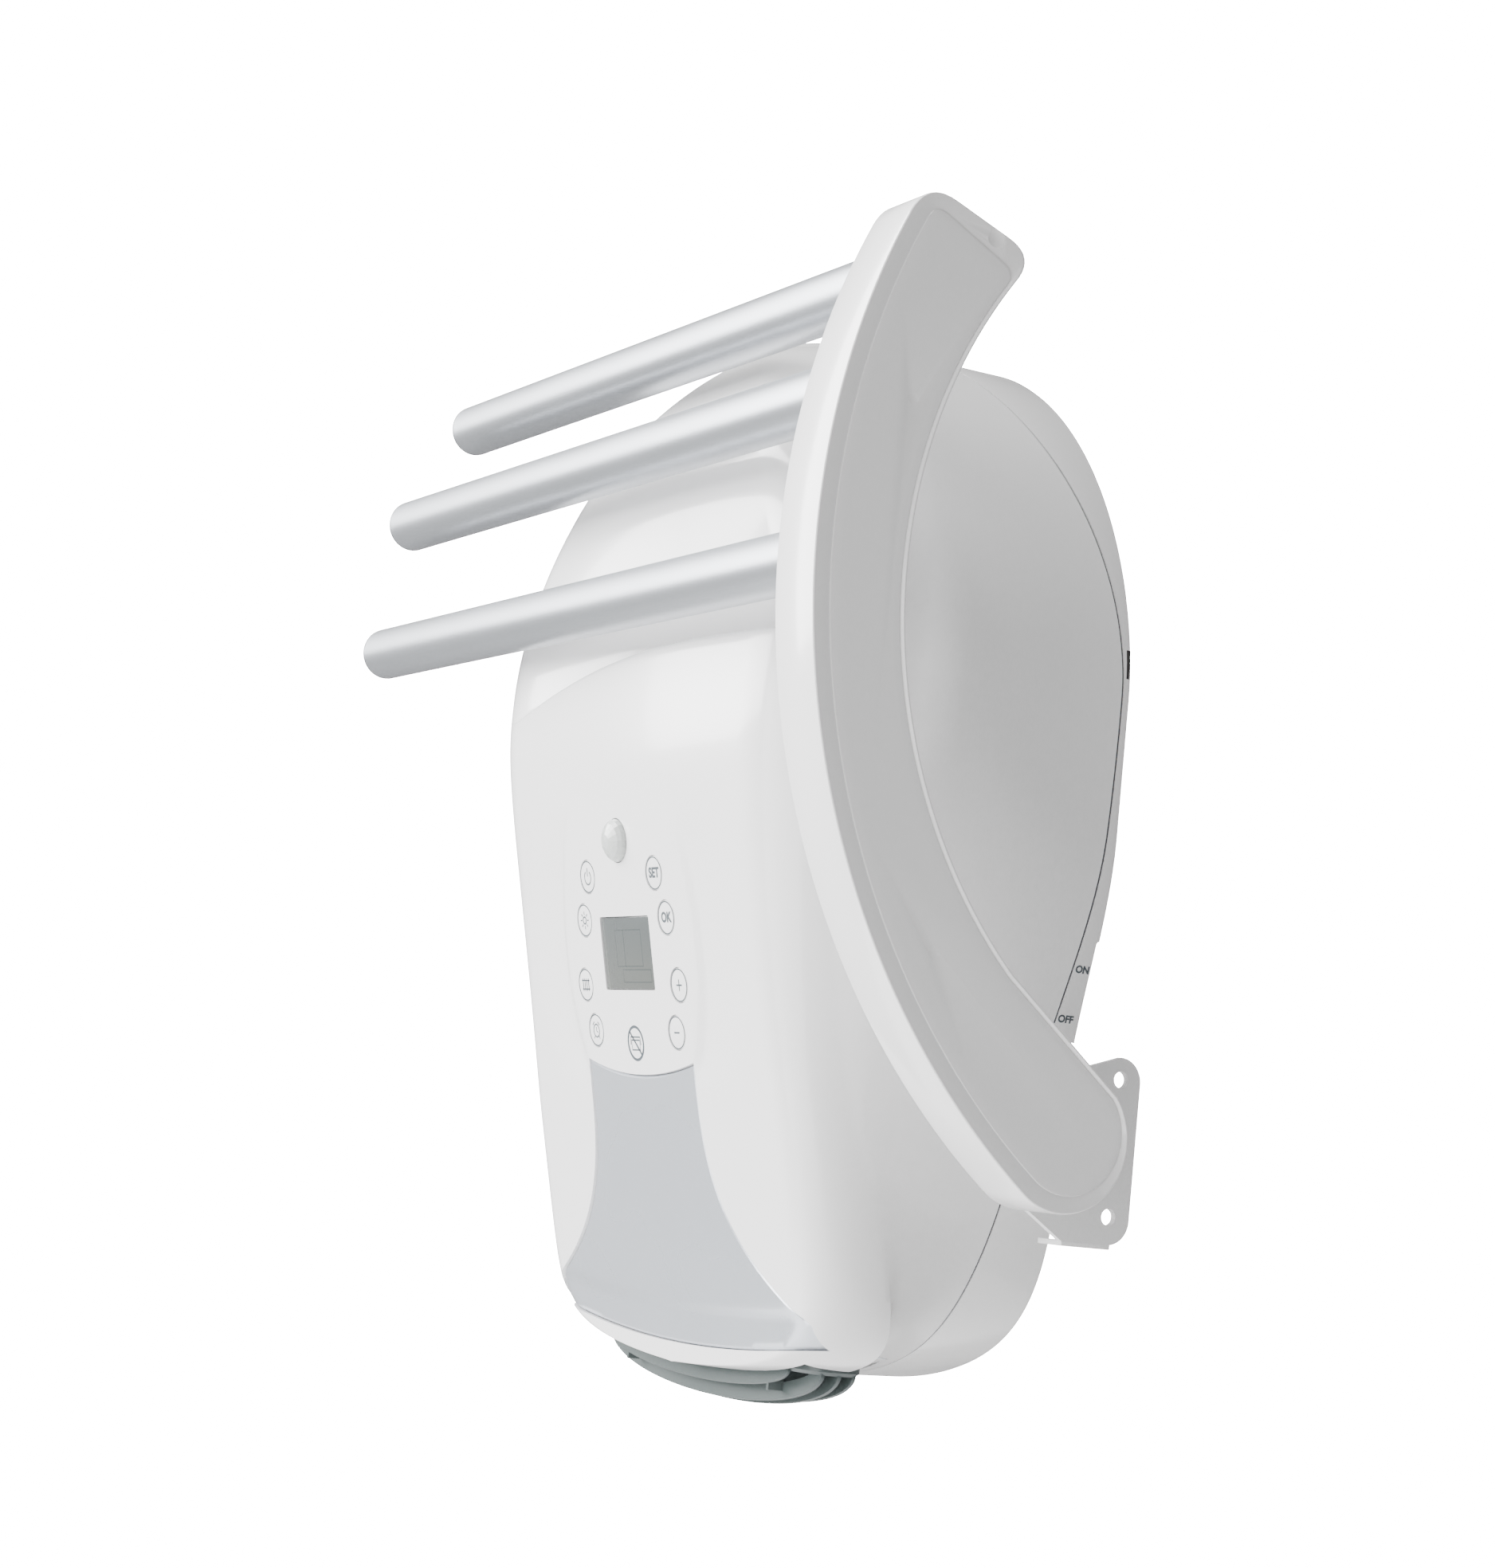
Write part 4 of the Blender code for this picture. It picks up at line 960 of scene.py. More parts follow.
class Repeater:
    """Geometry Nodes group that sets copies of an object's own mesh at even steps."""

    name = "row_of_copies"

    def group(self) -> bpy.types.NodeTree:
        """Build the group, or return it if it is there already."""
        tree = bpy.data.node_groups.get(self.name)
        if tree:
            return tree
        tree = bpy.data.node_groups.new(self.name, "GeometryNodeTree")
        face = tree.interface
        face.new_socket("Geometry", in_out="INPUT", socket_type="NodeSocketGeometry")
        face.new_socket("Count", in_out="INPUT", socket_type="NodeSocketInt")
        face.new_socket("First", in_out="INPUT", socket_type="NodeSocketVector")
        face.new_socket("Step", in_out="INPUT", socket_type="NodeSocketVector")
        face.new_socket("Finish", in_out="INPUT", socket_type="NodeSocketMaterial")
        face.new_socket("Geometry", in_out="OUTPUT", socket_type="NodeSocketGeometry")
        start, end = tree.nodes.new("NodeGroupInput"), tree.nodes.new("NodeGroupOutput")
        line, copies, real, finish = (tree.nodes.new(kind) for kind in (
            "GeometryNodeMeshLine", "GeometryNodeInstanceOnPoints", "GeometryNodeRealizeInstances",
            "GeometryNodeSetMaterial"))
        line.mode = "OFFSET"
        for a, b in ((start.outputs["Count"], line.inputs["Count"]),
                     (start.outputs["First"], line.inputs["Start Location"]),
                     (start.outputs["Step"], line.inputs["Offset"]),
                     (line.outputs["Mesh"], copies.inputs["Points"]),
                     (start.outputs["Geometry"], copies.inputs["Instance"]),
                     (copies.outputs["Instances"], real.inputs["Geometry"]),
                     (real.outputs["Geometry"], finish.inputs["Geometry"]),
                     (start.outputs["Finish"], finish.inputs["Material"]),
                     (finish.outputs["Geometry"], end.inputs["Geometry"])):
            tree.links.new(a, b)
        return tree

    def repeat(self, mesh: bpy.types.Mesh, count: int, first: Point, step: Point,
               finish: bpy.types.Material) -> bpy.types.Mesh:
        """Copy a mesh along a row.

        Args:
            mesh: one copy, about the origin.
            count: number of copies.
            first: place of the first.
            step: from each to the next.
            finish: material of all.

        Returns:
            One mesh that holds every copy.
        """
        obj = new_object("copies", mesh)
        step_of = obj.modifiers.new("copies", "NODES")
        step_of.node_group = self.group()
        values = {"Count": count, "First": first, "Step": step, "Finish": finish}
        for item in step_of.node_group.interface.items_tree:
            if item.in_out == "INPUT" and item.name in values:
                step_of[item.identifier] = values[item.name]
        return baked(obj)


# ---- Rear shell, intake and outlet ---------------------------------------------------

class RearShell:
    """Shallow rear shell between the seam and the wall."""

    def ring(self, form: HousingForm, inset: float, depth: Callable[[float], float],
             count: int = 260) -> list[Point]:
        """A closed ring round the housing, seen from the front.

        Args:
            form: the housing's form.
            inset: how far inside the outer surface.
            depth: the ring's depth at each height.
            count: number of points.

        Returns:
            The ring's points.
        """
        middle, half = (form.top_z + form.bottom_z) / 2, (form.top_z - form.bottom_z) / 2
        points = []
        for k in range(count):
            angle = 2 * math.pi * k / count
            z = middle + half * math.sin(angle)
            across = math.cos(angle)
            x = math.copysign(form.width_at(z, depth(z)), across) if abs(across) > 1e-6 else 0.0
            points.append((x * (1 - inset / form.half_width), depth(z),
                           middle + (z - middle) * (1 - inset / half)))
        return points

    def build(self, form: HousingForm) -> None:
        """Build the shell and its cuts, a dark ring in the seam that paints the shade of the gap between the
        shells, and a black block behind the side slot that paints the slot's shade.
        """
        rim, back, wall = form.rim_y, form.back_y, form.wall
        steps = ((14 * MM, back), (12 * MM, rim), (1.4 * MM, rim), (0.4 * MM, rim - 0.8 * MM),
                 (0.0, rim - 2 * MM), (0.0, None), (wall, None), (wall, rim - wall),
                 (12.5 * MM, rim - wall), (14.5 * MM, back - wall))
        loops = [self.ring(form, inset, form.seam if depth is None else lambda z, depth=depth: depth)
                 for inset, depth in steps]
        solid = mesh_of("rear", *rings(loops), merge=1e-7)
        if max(solid.polygons, key=lambda face: face.area).normal.y < 0:
            solid.flip_normals()
        side = form.width_at(Switch.z, Switch.y)
        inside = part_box("switch_housing")[0].x - form.gap
        cuts = [box_mesh("pocket", (inside, -14 * MM, Switch.z - 20.4 * MM),
                         (side - 4 * MM, 2 * MM, Switch.z + 20.4 * MM), 1 * MM),
                box_mesh("notch", (side - 6 * MM, -5.4 * MM, Switch.z - 20.4 * MM),
                         (side + 10 * MM, 2 * MM, Switch.z + 20.4 * MM), 1.2 * MM),
                box_mesh("slot", (side - 4 * MM, -6.2 * MM, 40.8 * MM),
                         (side + 30 * MM, -3.9 * MM, 51.8 * MM)),
                cylinder_mesh("cable_hole", (-60 * MM, form.back_y, -120 * MM), 8 * MM, 0.03, "Y")]
        for x in (-35 * MM, 35 * MM):
            cuts.append(box_mesh("hook_slot", (x - 11 * MM, -0.02, 60 * MM),
                                 (x + 11 * MM, 0, 70 * MM), 1 * MM))
        mesh = solid
        for cutter in cuts:
            mesh = boolean(mesh, [cutter])
        piece("rear_cover", mesh, WHITE.material(), "housing", "gloss_white", "rear_shell")
        # Painted shade: a dark ring in the seam, so the gap between the shells reads as a dark line.
        seam_shade_loops = [self.ring(form, inset, lambda z, back=back: form.seam(z) - back)
                  for inset, back in ((0.5 * MM, 0.85 * MM), (0.5 * MM, 0.05 * MM), (2.4 * MM, 0.05 * MM),
                                      (2.4 * MM, 0.85 * MM), (0.5 * MM, 0.85 * MM))]
        piece("seam_gasket", mesh_of("seam_gasket", *rings(seam_shade_loops, caps=False), merge=1e-7), INK_AND_SEAM_SHADE.material(),
              "housing", "grille_grey")
        # Painted shade: a black block behind the side slot, so the slot reads dark.
        edge = form.width_at(46 * MM, -5 * MM)
        slot_shade_block = box_mesh("slot_liner", (edge - 5 * MM, -6.1 * MM, 40.9 * MM),
                         (edge - 1.4 * MM, -4 * MM, 51.7 * MM))
        piece("slot_liner", slot_shade_block, BLACK.material(), "housing", "grille_grey")


class Intake:
    """Intake grille at the back of the scoop."""

    def build(self) -> None:
        """Build a frame with a row of upright bars."""
        low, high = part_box("intake_grille")
        frame_mesh = boolean(box_mesh("frame", low, high, 0.4 * MM), [
            box_mesh("mouth", (low.x + 3 * MM, low.y - 0.01, low.z + 2 * MM),
                     (high.x - 3 * MM, high.y + 0.01, high.z - 2 * MM))])
        count = 19
        pitch = (high.x - low.x - 6 * MM) / (count + 1)
        bar = box_mesh("bar", (-0.9 * MM, low.y, low.z + 1.5 * MM),
                       (0.9 * MM, high.y, high.z - 1.5 * MM), 0.3 * MM)
        bars = Repeater().repeat(bar, count, (low.x + 3 * MM + pitch, 0, 0), (pitch, 0, 0), WHITE.material())
        mesh = boolean(frame_mesh, [bars], "UNION")
        piece("intake_grille_bars", mesh, WHITE.material(), "housing", "gloss_white", "intake_grille")


class Outlet:
    """Boat-shaped outlet grille under the foot: curved vanes, deepest in the middle, and cross ribs."""

    depth = 17 * MM
    spread = 6.6 * MM
    rib_x = 29 * MM

    def __init__(self) -> None:
        """Measure the CAD's grille."""
        low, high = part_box("outlet_grille")
        self.middle = (low + high) / 2
        self.half_x, self.half_y = (high.x - low.x) / 2, (high.y - low.y) / 2
        self.top = low.z + self.depth

    def vane(self, offset: float) -> bpy.types.Mesh:
        """One vane along X.

        Args:
            offset: its distance from the middle, towards the wall.

        Returns:
            The vane's mesh.
        """
        share = min(abs(offset) / self.half_y, 1.0)
        half = (self.half_x - 1 * MM) * (1 - share ** 4) ** 0.25
        drop = self.depth * (1 - share ** 2.5) ** 0.5
        outermost = share > 0.8
        loops = []
        for k in range(81):
            x = -half * math.cos(math.pi * k / 80)
            foot = -drop * (1 - (x / half) ** 2) ** 0.5 - 0.9 * MM
            head = 1.5 * MM if outermost else min(foot + 6.5 * MM, 1.5 * MM)
            y = self.middle.y + offset
            tip = 0.35 * MM
            section = ((-1, head), (-1, foot + tip), (-0.5, foot), (0.5, foot), (1, foot + tip), (1, head))
            loops.append([(self.middle.x + x, y + side * 0.75 * MM, self.top + z) for side, z in section])
        return mesh_of("vane", *rings(loops), merge=1e-7)

    def collar(self) -> bpy.types.Mesh:
        """The rim that the vanes hang from, in the foot's opening."""
        loops = []
        section = ((0, 5 * MM), (0, 0.4 * MM), (1.2 * MM, -0.9 * MM), (2.4 * MM, 0.4 * MM),
                   (2.4 * MM, 5 * MM))
        for inset, z in section:
            loop = []
            for k in range(120):
                c, s = math.cos(math.pi * k / 60), math.sin(math.pi * k / 60)
                loop.append((self.middle.x + (self.half_x - inset) * math.copysign(abs(c) ** 0.5, c),
                             self.middle.y + (self.half_y - inset) * math.copysign(abs(s) ** 0.5, s),
                             self.top + z))
            loops.append(loop)
        return mesh_of("collar", *rings(loops + [loops[0]], caps=False), merge=1e-7)

    def build(self) -> None:
        """Build the collar, the vanes and the ribs."""
        vanes = [self.vane(k * self.spread) for k in range(-2, 3)]
        low, high = self.middle.y - 13.6 * MM, self.middle.y + 13.6 * MM
        rib = box_mesh("rib", (-0.8 * MM, low, -9.5 * MM), (0.8 * MM, high, 1.2 * MM), 0.3 * MM)
        ribs = Repeater().repeat(rib, 3, (self.middle.x - 2 * self.rib_x, 0, self.top),
                                 (2 * self.rib_x, 0, 0), GRILLE.material())
        mesh = join_meshes("outlet", [self.collar(), ribs, *vanes])
        piece("outlet_louvres", mesh, GRILLE.material(), "housing", "grille_grey", "outlet_grille")


# ---- Controls ------------------------------------------------------------------------

class Print:
    """Flat printed marks, drawn upright in the local XZ plane and a hair proud of it."""

    proud = 0.05 * MM

    def __init__(self) -> None:
        """Start with nothing drawn."""
        self.parts: list[bpy.types.Mesh] = []

    def stroke(self, path: Sequence[tuple[float, float]], width: float, closed: bool = False) -> "Print":
        """Draw a line of even width.

        Args:
            path: its points, in millimetres.
            width: its width, in millimetres.
            closed: whether it ends where it starts.

        Returns:
            This print.
        """
        count = len(path)
        loops = []
        for k, (x, z) in enumerate(path):
            before = path[k - 1] if closed or k else path[k]
            after = path[(k + 1) % count] if closed or k < count - 1 else path[k]
            along = Vector((after[0] - before[0], after[1] - before[1])).normalized()
            dx, dz = -along.y * width / 2, along.x * width / 2
            loops.append([((x + s * dx) * MM, depth, (z + s * dz) * MM) for s, depth in
                          ((1, -self.proud), (-1, -self.proud), (-1, 0.02 * MM), (1, 0.02 * MM))])
        if closed:
            loops.append(loops[0])
        self.parts.append(mesh_of("stroke", *rings(loops, caps=not closed), merge=1e-7 if closed else 0.0))
        return self

    def arc(self, x: float, z: float, radius: float, start: float, end: float, width: float) -> "Print":
        """Draw part of a circle, or all of it.

        Args:
            x: centre across, in millimetres.
            z: centre height, in millimetres.
            radius: its radius, in millimetres.
            start: first angle, in degrees.
            end: last angle, in degrees.
            width: width of the line, in millimetres.

        Returns:
            This print.
        """
        closed = abs(end - start) >= 360
        steps = 48
        angles = [math.radians(blend(start, end, k / steps)) for k in range(steps + (0 if closed else 1))]
        path = [(x + radius * math.cos(a), z + radius * math.sin(a)) for a in angles]
        return self.stroke(path, width, closed)

    def text(self, words: str, height: float, bold: float = 0.0) -> "Print":
        """Draw words about the centre.

        Args:
            words: what they say.
            height: height of the capitals, in millimetres.
            bold: how much the strokes grow, in millimetres.

        Returns:
            This print.
        """
        curve = bpy.data.curves.new(words, "FONT")
        curve.body = words
        curve.align_x = curve.align_y = "CENTER"
        curve.size = height * MM / 0.72
        curve.offset = bold * MM
        curve.extrude = 0.035 * MM
        curve.resolution_u = 6
        obj = bpy.data.objects.new(words, curve)
        bpy.context.scene.collection.objects.link(obj)
        mesh = baked(obj)
        mesh.transform(Matrix.Translation((0, -0.015 * MM, 0)) @ Matrix.Rotation(math.pi / 2, 4, "X"))
        self.parts.append(mesh_of("words", [tuple(v.co) for v in mesh.vertices],
                                  [tuple(p.vertices) for p in mesh.polygons], merge=1e-8))
        return self

    def mesh(self, name: str, place: Matrix) -> bpy.types.Mesh:
        """Join the marks and move them into place."""
        mesh = join_meshes(name, self.parts)
        mesh.transform(place)
        return mesh


class Key(Enum):
    """The eight keys, with their centres seen from the front in millimetres."""

    POWER = ("power", -28.7, -45.0)
    LAMP = ("lamp", -35.2, -61.6)
    TOWEL = ("towel", -40.0, -86.4)
    ALARM = ("alarm", -34.5, -103.9)
    SET = ("set", 28.7, -45.0)
    OK = ("ok", 35.2, -61.6)
    PLUS = ("plus", 40.0, -86.4)
    MINUS = ("minus", 34.5, -103.9)

    @property
    def label(self) -> str:
        """The key's name in the CAD."""
        return self.value[0]

    @property
    def x(self) -> float:
        """Centre across the front, in metres."""
        return self.value[1] * MM

    @property
    def z(self) -> float:
        """Centre height, in metres."""
        return self.value[2] * MM

    def icon(self) -> Print:
        """Draw the key's mark."""
        pen = Print()
        if self is Key.POWER:
            pen.arc(0, -0.3, 2.7, 125, 415, 0.57).stroke([(0, 0.2), (0, 3.6)], 0.57)
        elif self is Key.LAMP:
            pen.arc(0, 0, 1.35, 0, 360, 0.6)
            for k in range(8):
                c, s = math.cos(math.pi * k / 4), math.sin(math.pi * k / 4)
                pen.stroke([(2.2 * c, 2.2 * s), (3.5 * c, 3.5 * s)], 0.51)
        elif self is Key.TOWEL:
            for x in (-2.4, -0.8, 0.8, 2.4):
                pen.stroke([(x, -2.5), (x, 2.5)], 0.57)
            pen.stroke([(-3.3, 1.7), (3.3, 1.7)], 0.49).stroke([(-3.3, -1.7), (3.3, -1.7)], 0.49)
        elif self is Key.ALARM:
            pen.arc(0, -0.2, 2.5, 0, 360, 0.55).stroke([(0, 1.3), (0, -0.3), (1.1, -0.9)], 0.49)
            for side in (-1, 1):
                pen.stroke([(side * 1.5, 3.3), (side * 3.0, 2.0)], 0.5)
                pen.stroke([(side * 1.7, -2.3), (side * 2.5, -3.3)], 0.4)
        elif self is Key.PLUS:
            pen.stroke([(-2.2, 0), (2.2, 0)], 0.6).stroke([(0, -2.2), (0, 2.2)], 0.6)
        elif self is Key.MINUS:
            pen.stroke([(-2.2, 0), (2.2, 0)], 0.6)
        else:
            pen.text(self.name, 3.8, 0.22)
        return pen.arc(0, 0, 6.1, 0, 360, 0.5)


class Controls:
    """Keys, display, motion sensor lens and the printed symbols."""

    window_z = -74.5 * MM
    sensor_z = -32 * MM
    cap = ((0.0, 5.4), (2.5, 5.4), (2.5, 4.4), (7.8, 4.4), (7.8, 3.3), (6.55, 3.3), (6.55, 0.32),
           (6.47, 0.14), (6.3, 0.03), (6.1, 0.0), (0.0, 0.0))

    def __init__(self, form: HousingForm) -> None:
        """Remember the form."""
        self.form = form

    def round_mesh(self, name: str, profile: Sequence[tuple[float, float]], place: Matrix, sides: int,
                   crease: float) -> bpy.types.Mesh:
        """Turn a profile in millimetres that starts and ends on the axis."""
        close = [(max(radius, 0.001) * MM, depth * MM) for radius, depth in profile]
        return mesh_of(name, *turned(close, place, sides), crease=crease)

    def keys(self) -> None:
        """Build the keys, their rings and marks, each on its own body."""
        for key in Key:
            body = "key_" + key.label
            place = self.form.face_place(key.x, key.z, 0.1 * MM)
            cap = self.round_mesh(body, self.cap, place, 72, 30)
            piece(body + "_cap", cap, WHITE.material(), body, "gloss_white", body)
            piece(body + "_mark", key.icon().mesh(body, place), INK_AND_SEAM_SHADE.material(), body, "grille_grey")

    def display(self) -> None:
        """Build the display window."""
        place = self.form.face_place(0, self.window_z)
        face = box_mesh("window", (-20.7 * MM, 0.7 * MM, -13.95 * MM),
                        (20.7 * MM, 2 * MM, 13.95 * MM), 0.25 * MM, place)
        piece("display_face", face, DisplayFinish().material(self.window_z), "housing", "display_glass",
              "display_window")

    def lens(self) -> None:
        """Build the sensor's lens as a dome of flat facets."""
        dome = [(0.0, 3.0), (7.6, 3.0), (8.4, 2.6), (8.4, 0.0)]
        dome += [(8.4 * math.cos(a), -5.0 * math.sin(a)) for a in (math.radians(18 * k) for k in range(1, 5))]
        place = self.form.face_place(0, self.sensor_z)
        mesh = self.round_mesh("lens", dome + [(0.0, -5.0)], place, 16, 4)
        piece("faceted_lens", mesh, LensFinish().material(), "housing", "lens_white", "sensor_lens")

    def symbol(self) -> None:
        """Build the sign that says not to cover the heater."""
        pen = Print()
        pen.arc(0, 0, 6.4, 0, 360, 1.1).stroke([(-4.4, 4.4), (4.4, -4.4)], 0.9)
        pen.stroke([(-3.4, -2.6), (-3.4, 1.2), (3.4, 1.2), (3.4, -2.6)], 0.6, True)
        pen.stroke([(-4.2, -0.6), (-3.9, 2.4), (3.9, 2.4), (4.2, -0.6)], 0.6)
        place = self.form.face_place(0, -108.4 * MM, 0.0)
        piece("cover_sign", pen.mesh("cover_sign", place), INK_AND_SEAM_SHADE.material(), "housing", "grille_grey")

    def build(self) -> None:
        """Build all the controls."""
        self.keys()
        self.display()
        self.lens()
        self.symbol()


class Switch:
    """Place of the rocker switch, and the two words printed beside it."""

    z = -77 * MM
    y = -9 * MM

    def build(self, form: HousingForm) -> None:
        """Print the words that name the rocker's two ends."""
        for words, z0 in (("ON", -67.5 * MM), ("OFF", -86 * MM)):
            mesh = Print().text(words, 2.7, 0.14).mesh(words, Matrix.Identity(4))
            for vert in mesh.vertices:
                u, lift, v = vert.co
                y, z = form.seam(z0) + 3.7 * MM + u, z0 + v
                vert.co = (form.width_at(z, y) - lift + 0.02 * MM, y, z)
            piece("word_" + words.lower(), mesh, INK_AND_SEAM_SHADE.material(), "housing", "grille_grey")


# ---- Drying rack ---------------------------------------------------------------------

@dataclass(frozen=True)
class ArmForm:
    """The arm's outline in the YZ plane: two arcs, a slanted tip and a round foot."""

    inner_x: float = 175 * MM
    outer_x: float = 201 * MM
    pivot_y: float = -57 * MM
    pivot_z: float = -130.8 * MM
    foot: float = 25.4 * MM
    front: Point = (92.4 * MM, 61.5 * MM, 268.9 * MM)
    back: Point = (42.5 * MM, 54 * MM, 182.7 * MM)
    tip: tuple[float, float] = (185 * MM, 168 * MM)

    @staticmethod
    def arc(centre_y: float, centre_z: float, radius: float, start: float, end: float, steps: int,
            grow: float = 0.0) -> list[tuple[float, float]]:
        """Points of an arc whose radius may change along it."""
        pairs = [(blend(start, end, k / steps), radius + grow * smooth(k / steps)) for k in range(steps + 1)]
        return [(centre_y + r * math.cos(a), centre_z + r * math.sin(a)) for a, r in pairs]

    def outline(self, front: float, back: float, turn: float = 13 * MM) -> list[tuple[float, float]]:
        """The outline, moved inwards by one amount in front and at the tip and another behind.

        Args:
            front: inset of the front edge and the tip.
            back: inset of the back edge.
            turn: size of the tip's rounded corners.

        Returns:
            Points as (y, z), round the arm.
        """
        fy, fz, fr = self.front
        by, bz, br = self.back
        fr, br = fr - front, br + back
        foot_angle = math.atan2(self.pivot_z - fz, self.pivot_y - fy) % (2 * math.pi)
        high_front = math.pi - math.asin((self.tip[0] - fz - front) / fr)
        high_back = math.pi - math.asin((self.tip[1] - bz - front) / br)
        corner_front = (fy + fr * math.cos(high_front), fz + fr * math.sin(high_front))
        corner_back = (by + br * math.cos(high_back), bz + br * math.sin(high_back))
        size = max(turn - front, 0.6 * MM)
        edge = Vector(corner_back) - Vector(corner_front)
        edge.normalize()
        points = self.bend(Vector(corner_front) + edge * size, Vector(corner_front),
                           Vector(self.on_arc(self.front, fr, high_front + size / fr)))
        points += self.arc(fy, fz, fr, high_front + size / fr, foot_angle, 60)[1:]
        points += self.arc(self.pivot_y, self.pivot_z, self.foot - front, foot_angle, math.radians(400), 40,
                           front - back)[1:]
        points += self.arc(by, bz, br, math.radians(226), high_back + size / br, 60)
        points += self.bend(Vector(self.on_arc(self.back, br, high_back + size / br)), Vector(corner_back),
                            Vector(corner_back) - edge * size)[1:]
        return points

    @staticmethod
    def on_arc(arc: Point, radius: float, angle: float) -> tuple[float, float]:
        """A point on an arc's circle."""
        return arc[0] + radius * math.cos(angle), arc[1] + radius * math.sin(angle)

    @staticmethod
    def bend(a: Vector, corner: Vector, b: Vector) -> list[tuple[float, float]]:
        """A rounded corner between two points."""
        return [tuple(a * (1 - t) ** 2 + corner * (2 * t * (1 - t)) + b * t * t)
                for t in (k / 10 for k in range(11))]

    def loop(self, x: float, front: float, back: float) -> list[Point]:
        """The inset outline at a place across the arm."""
        return [(x, y, z) for y, z in self.outline(front, back)]


class Rack:
    """Swinging arm with three bars."""

    bar_radius = 11 * MM
    free_x = -208 * MM
    dent_places = ((-144.0, 110.0), (-116.0, -74.0), (-118.0, 170.0))

    def __init__(self) -> None:
        """Start from the arm's form."""
        self.form = ArmForm()

    def arm(self) -> None:
        """Build the arm's outer shell and its inner cover."""
        form = self.form
        inner, outer = form.inner_x, form.outer_x
        shape = ((inner, 3.0, 3.0), (inner, 0.8, 0.8), (inner + 0.25 * MM, 0.25, 0.25),
                 (inner + 0.9 * MM, 0.0, 0.0), (outer - 1.0 * MM, 0.0, 0.0),
                 (outer - 0.35 * MM, 0.12, 0.12), (outer - 0.05 * MM, 0.45, 0.45),
                 (outer - 0.02 * MM, 0.9, 0.8), (outer - 1.25 * MM, 6.6, 1.5), (outer - 1.3 * MM, 7.0, 1.7),
                 (outer - 1.05 * MM, 7.3, 1.9), (outer - 0.95 * MM, 7.8, 2.3), (outer - 0.95 * MM, 11.0, 5.0))
        loops = [form.loop(outer - 3.6 * MM, 3 * MM, 3 * MM)]
        loops += [form.loop(x, front * MM, back * MM) for x, front, back in shape]
        shell = mesh_of("arm", *rings(loops), merge=0.002 * MM, crease=24)
        dents = []
        for y, z in self.dent_places:
            bm = bmesh.new()
            place = Matrix.Translation((outer + 6.75 * MM, y * MM, z * MM))
            bmesh.ops.create_uvsphere(bm, u_segments=48, v_segments=48, radius=8 * MM, matrix=place)
            dent = bpy.data.meshes.new("dent")
            bm.to_mesh(dent)
            bm.free()
            dents.append(dent)
        shell = boolean(shell, dents, crease=24)
        piece("arm_outer", shell, WHITE.material(), "rack", "gloss_white", "arm_shell")
        steps = ((0.0, 4.0), (0.1, 3.6), (2.4, 3.6))
        loops = [form.loop(inner + depth * MM, inset * MM, inset * MM) for depth, inset in steps]
        cover = mesh_of("cover", *rings(loops), merge=0.002 * MM)
        holes = [cylinder_mesh("hole", (inner, y, z), self.bar_radius + 0.4 * MM, 0.02)
                 for y, z in self.bars()]
        holes.append(cylinder_mesh("boss", (inner, form.pivot_y, form.pivot_z), 11.5 * MM, 0.02))
        piece("arm_inner", boolean(cover, holes), WHITE.material(), "rack", "gloss_white", "arm_inner_cover")

    @staticmethod
    def bars() -> list[tuple[float, float]]:
        """Centres of the three bars, from the CAD."""
        centres = []
        for name in ("upper", "middle", "lower"):
            low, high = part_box("bar_" + name)
            centres.append(((low.y + high.y) / 2, (low.z + high.z) / 2))
        return centres

    def tubes(self) -> None:
        """Build the bars and the caps on their free ends."""
        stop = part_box("bar_upper")[1].x
        for name, (y, z) in zip(("upper", "middle", "lower"), self.bars()):
            place = Matrix.Translation((0, y, z)) @ Matrix.Rotation(-math.pi / 2, 4, "Z")
            radius, bore = self.bar_radius, 9.5 * MM
            profile = [(bore, self.free_x), (radius, self.free_x), (radius, stop), (bore, stop)]
            sides = 96
            points, faces = turned(profile, place, sides)
            faces = faces[:-2] + [[3 * sides + k, 3 * sides + (k + 1) % sides, (k + 1) % sides, k]
                                  for k in range(sides)]
            piece("tube_" + name, mesh_of("tube", points, faces), ALUMINIUM.material(), "rack",
                  "satin_aluminium", "bar_" + name)
            end = self.free_x
            round_edge = [(radius - 1.5 * MM * (1 - math.sin(a)), end - 1.1 * MM - 1.5 * MM * math.cos(a))
                          for a in (math.pi / 2 * k / 8 for k in range(9))]
            cap = [(0.001 * MM, end - 2.6 * MM)] + round_edge
            cap += [(radius, end - 0.25 * MM), (9.1 * MM, end - 0.1 * MM), (9.1 * MM, end + 8 * MM),
                    (0.001 * MM, end + 8 * MM)]
            piece("end_" + name, mesh_of("cap", *turned(cap, place, sides)), ALUMINIUM.material(), "rack",
                  "satin_aluminium", "bar_cap_" + name)

    def build(self) -> None:
        """Build the rack."""
        self.arm()
        self.tubes()


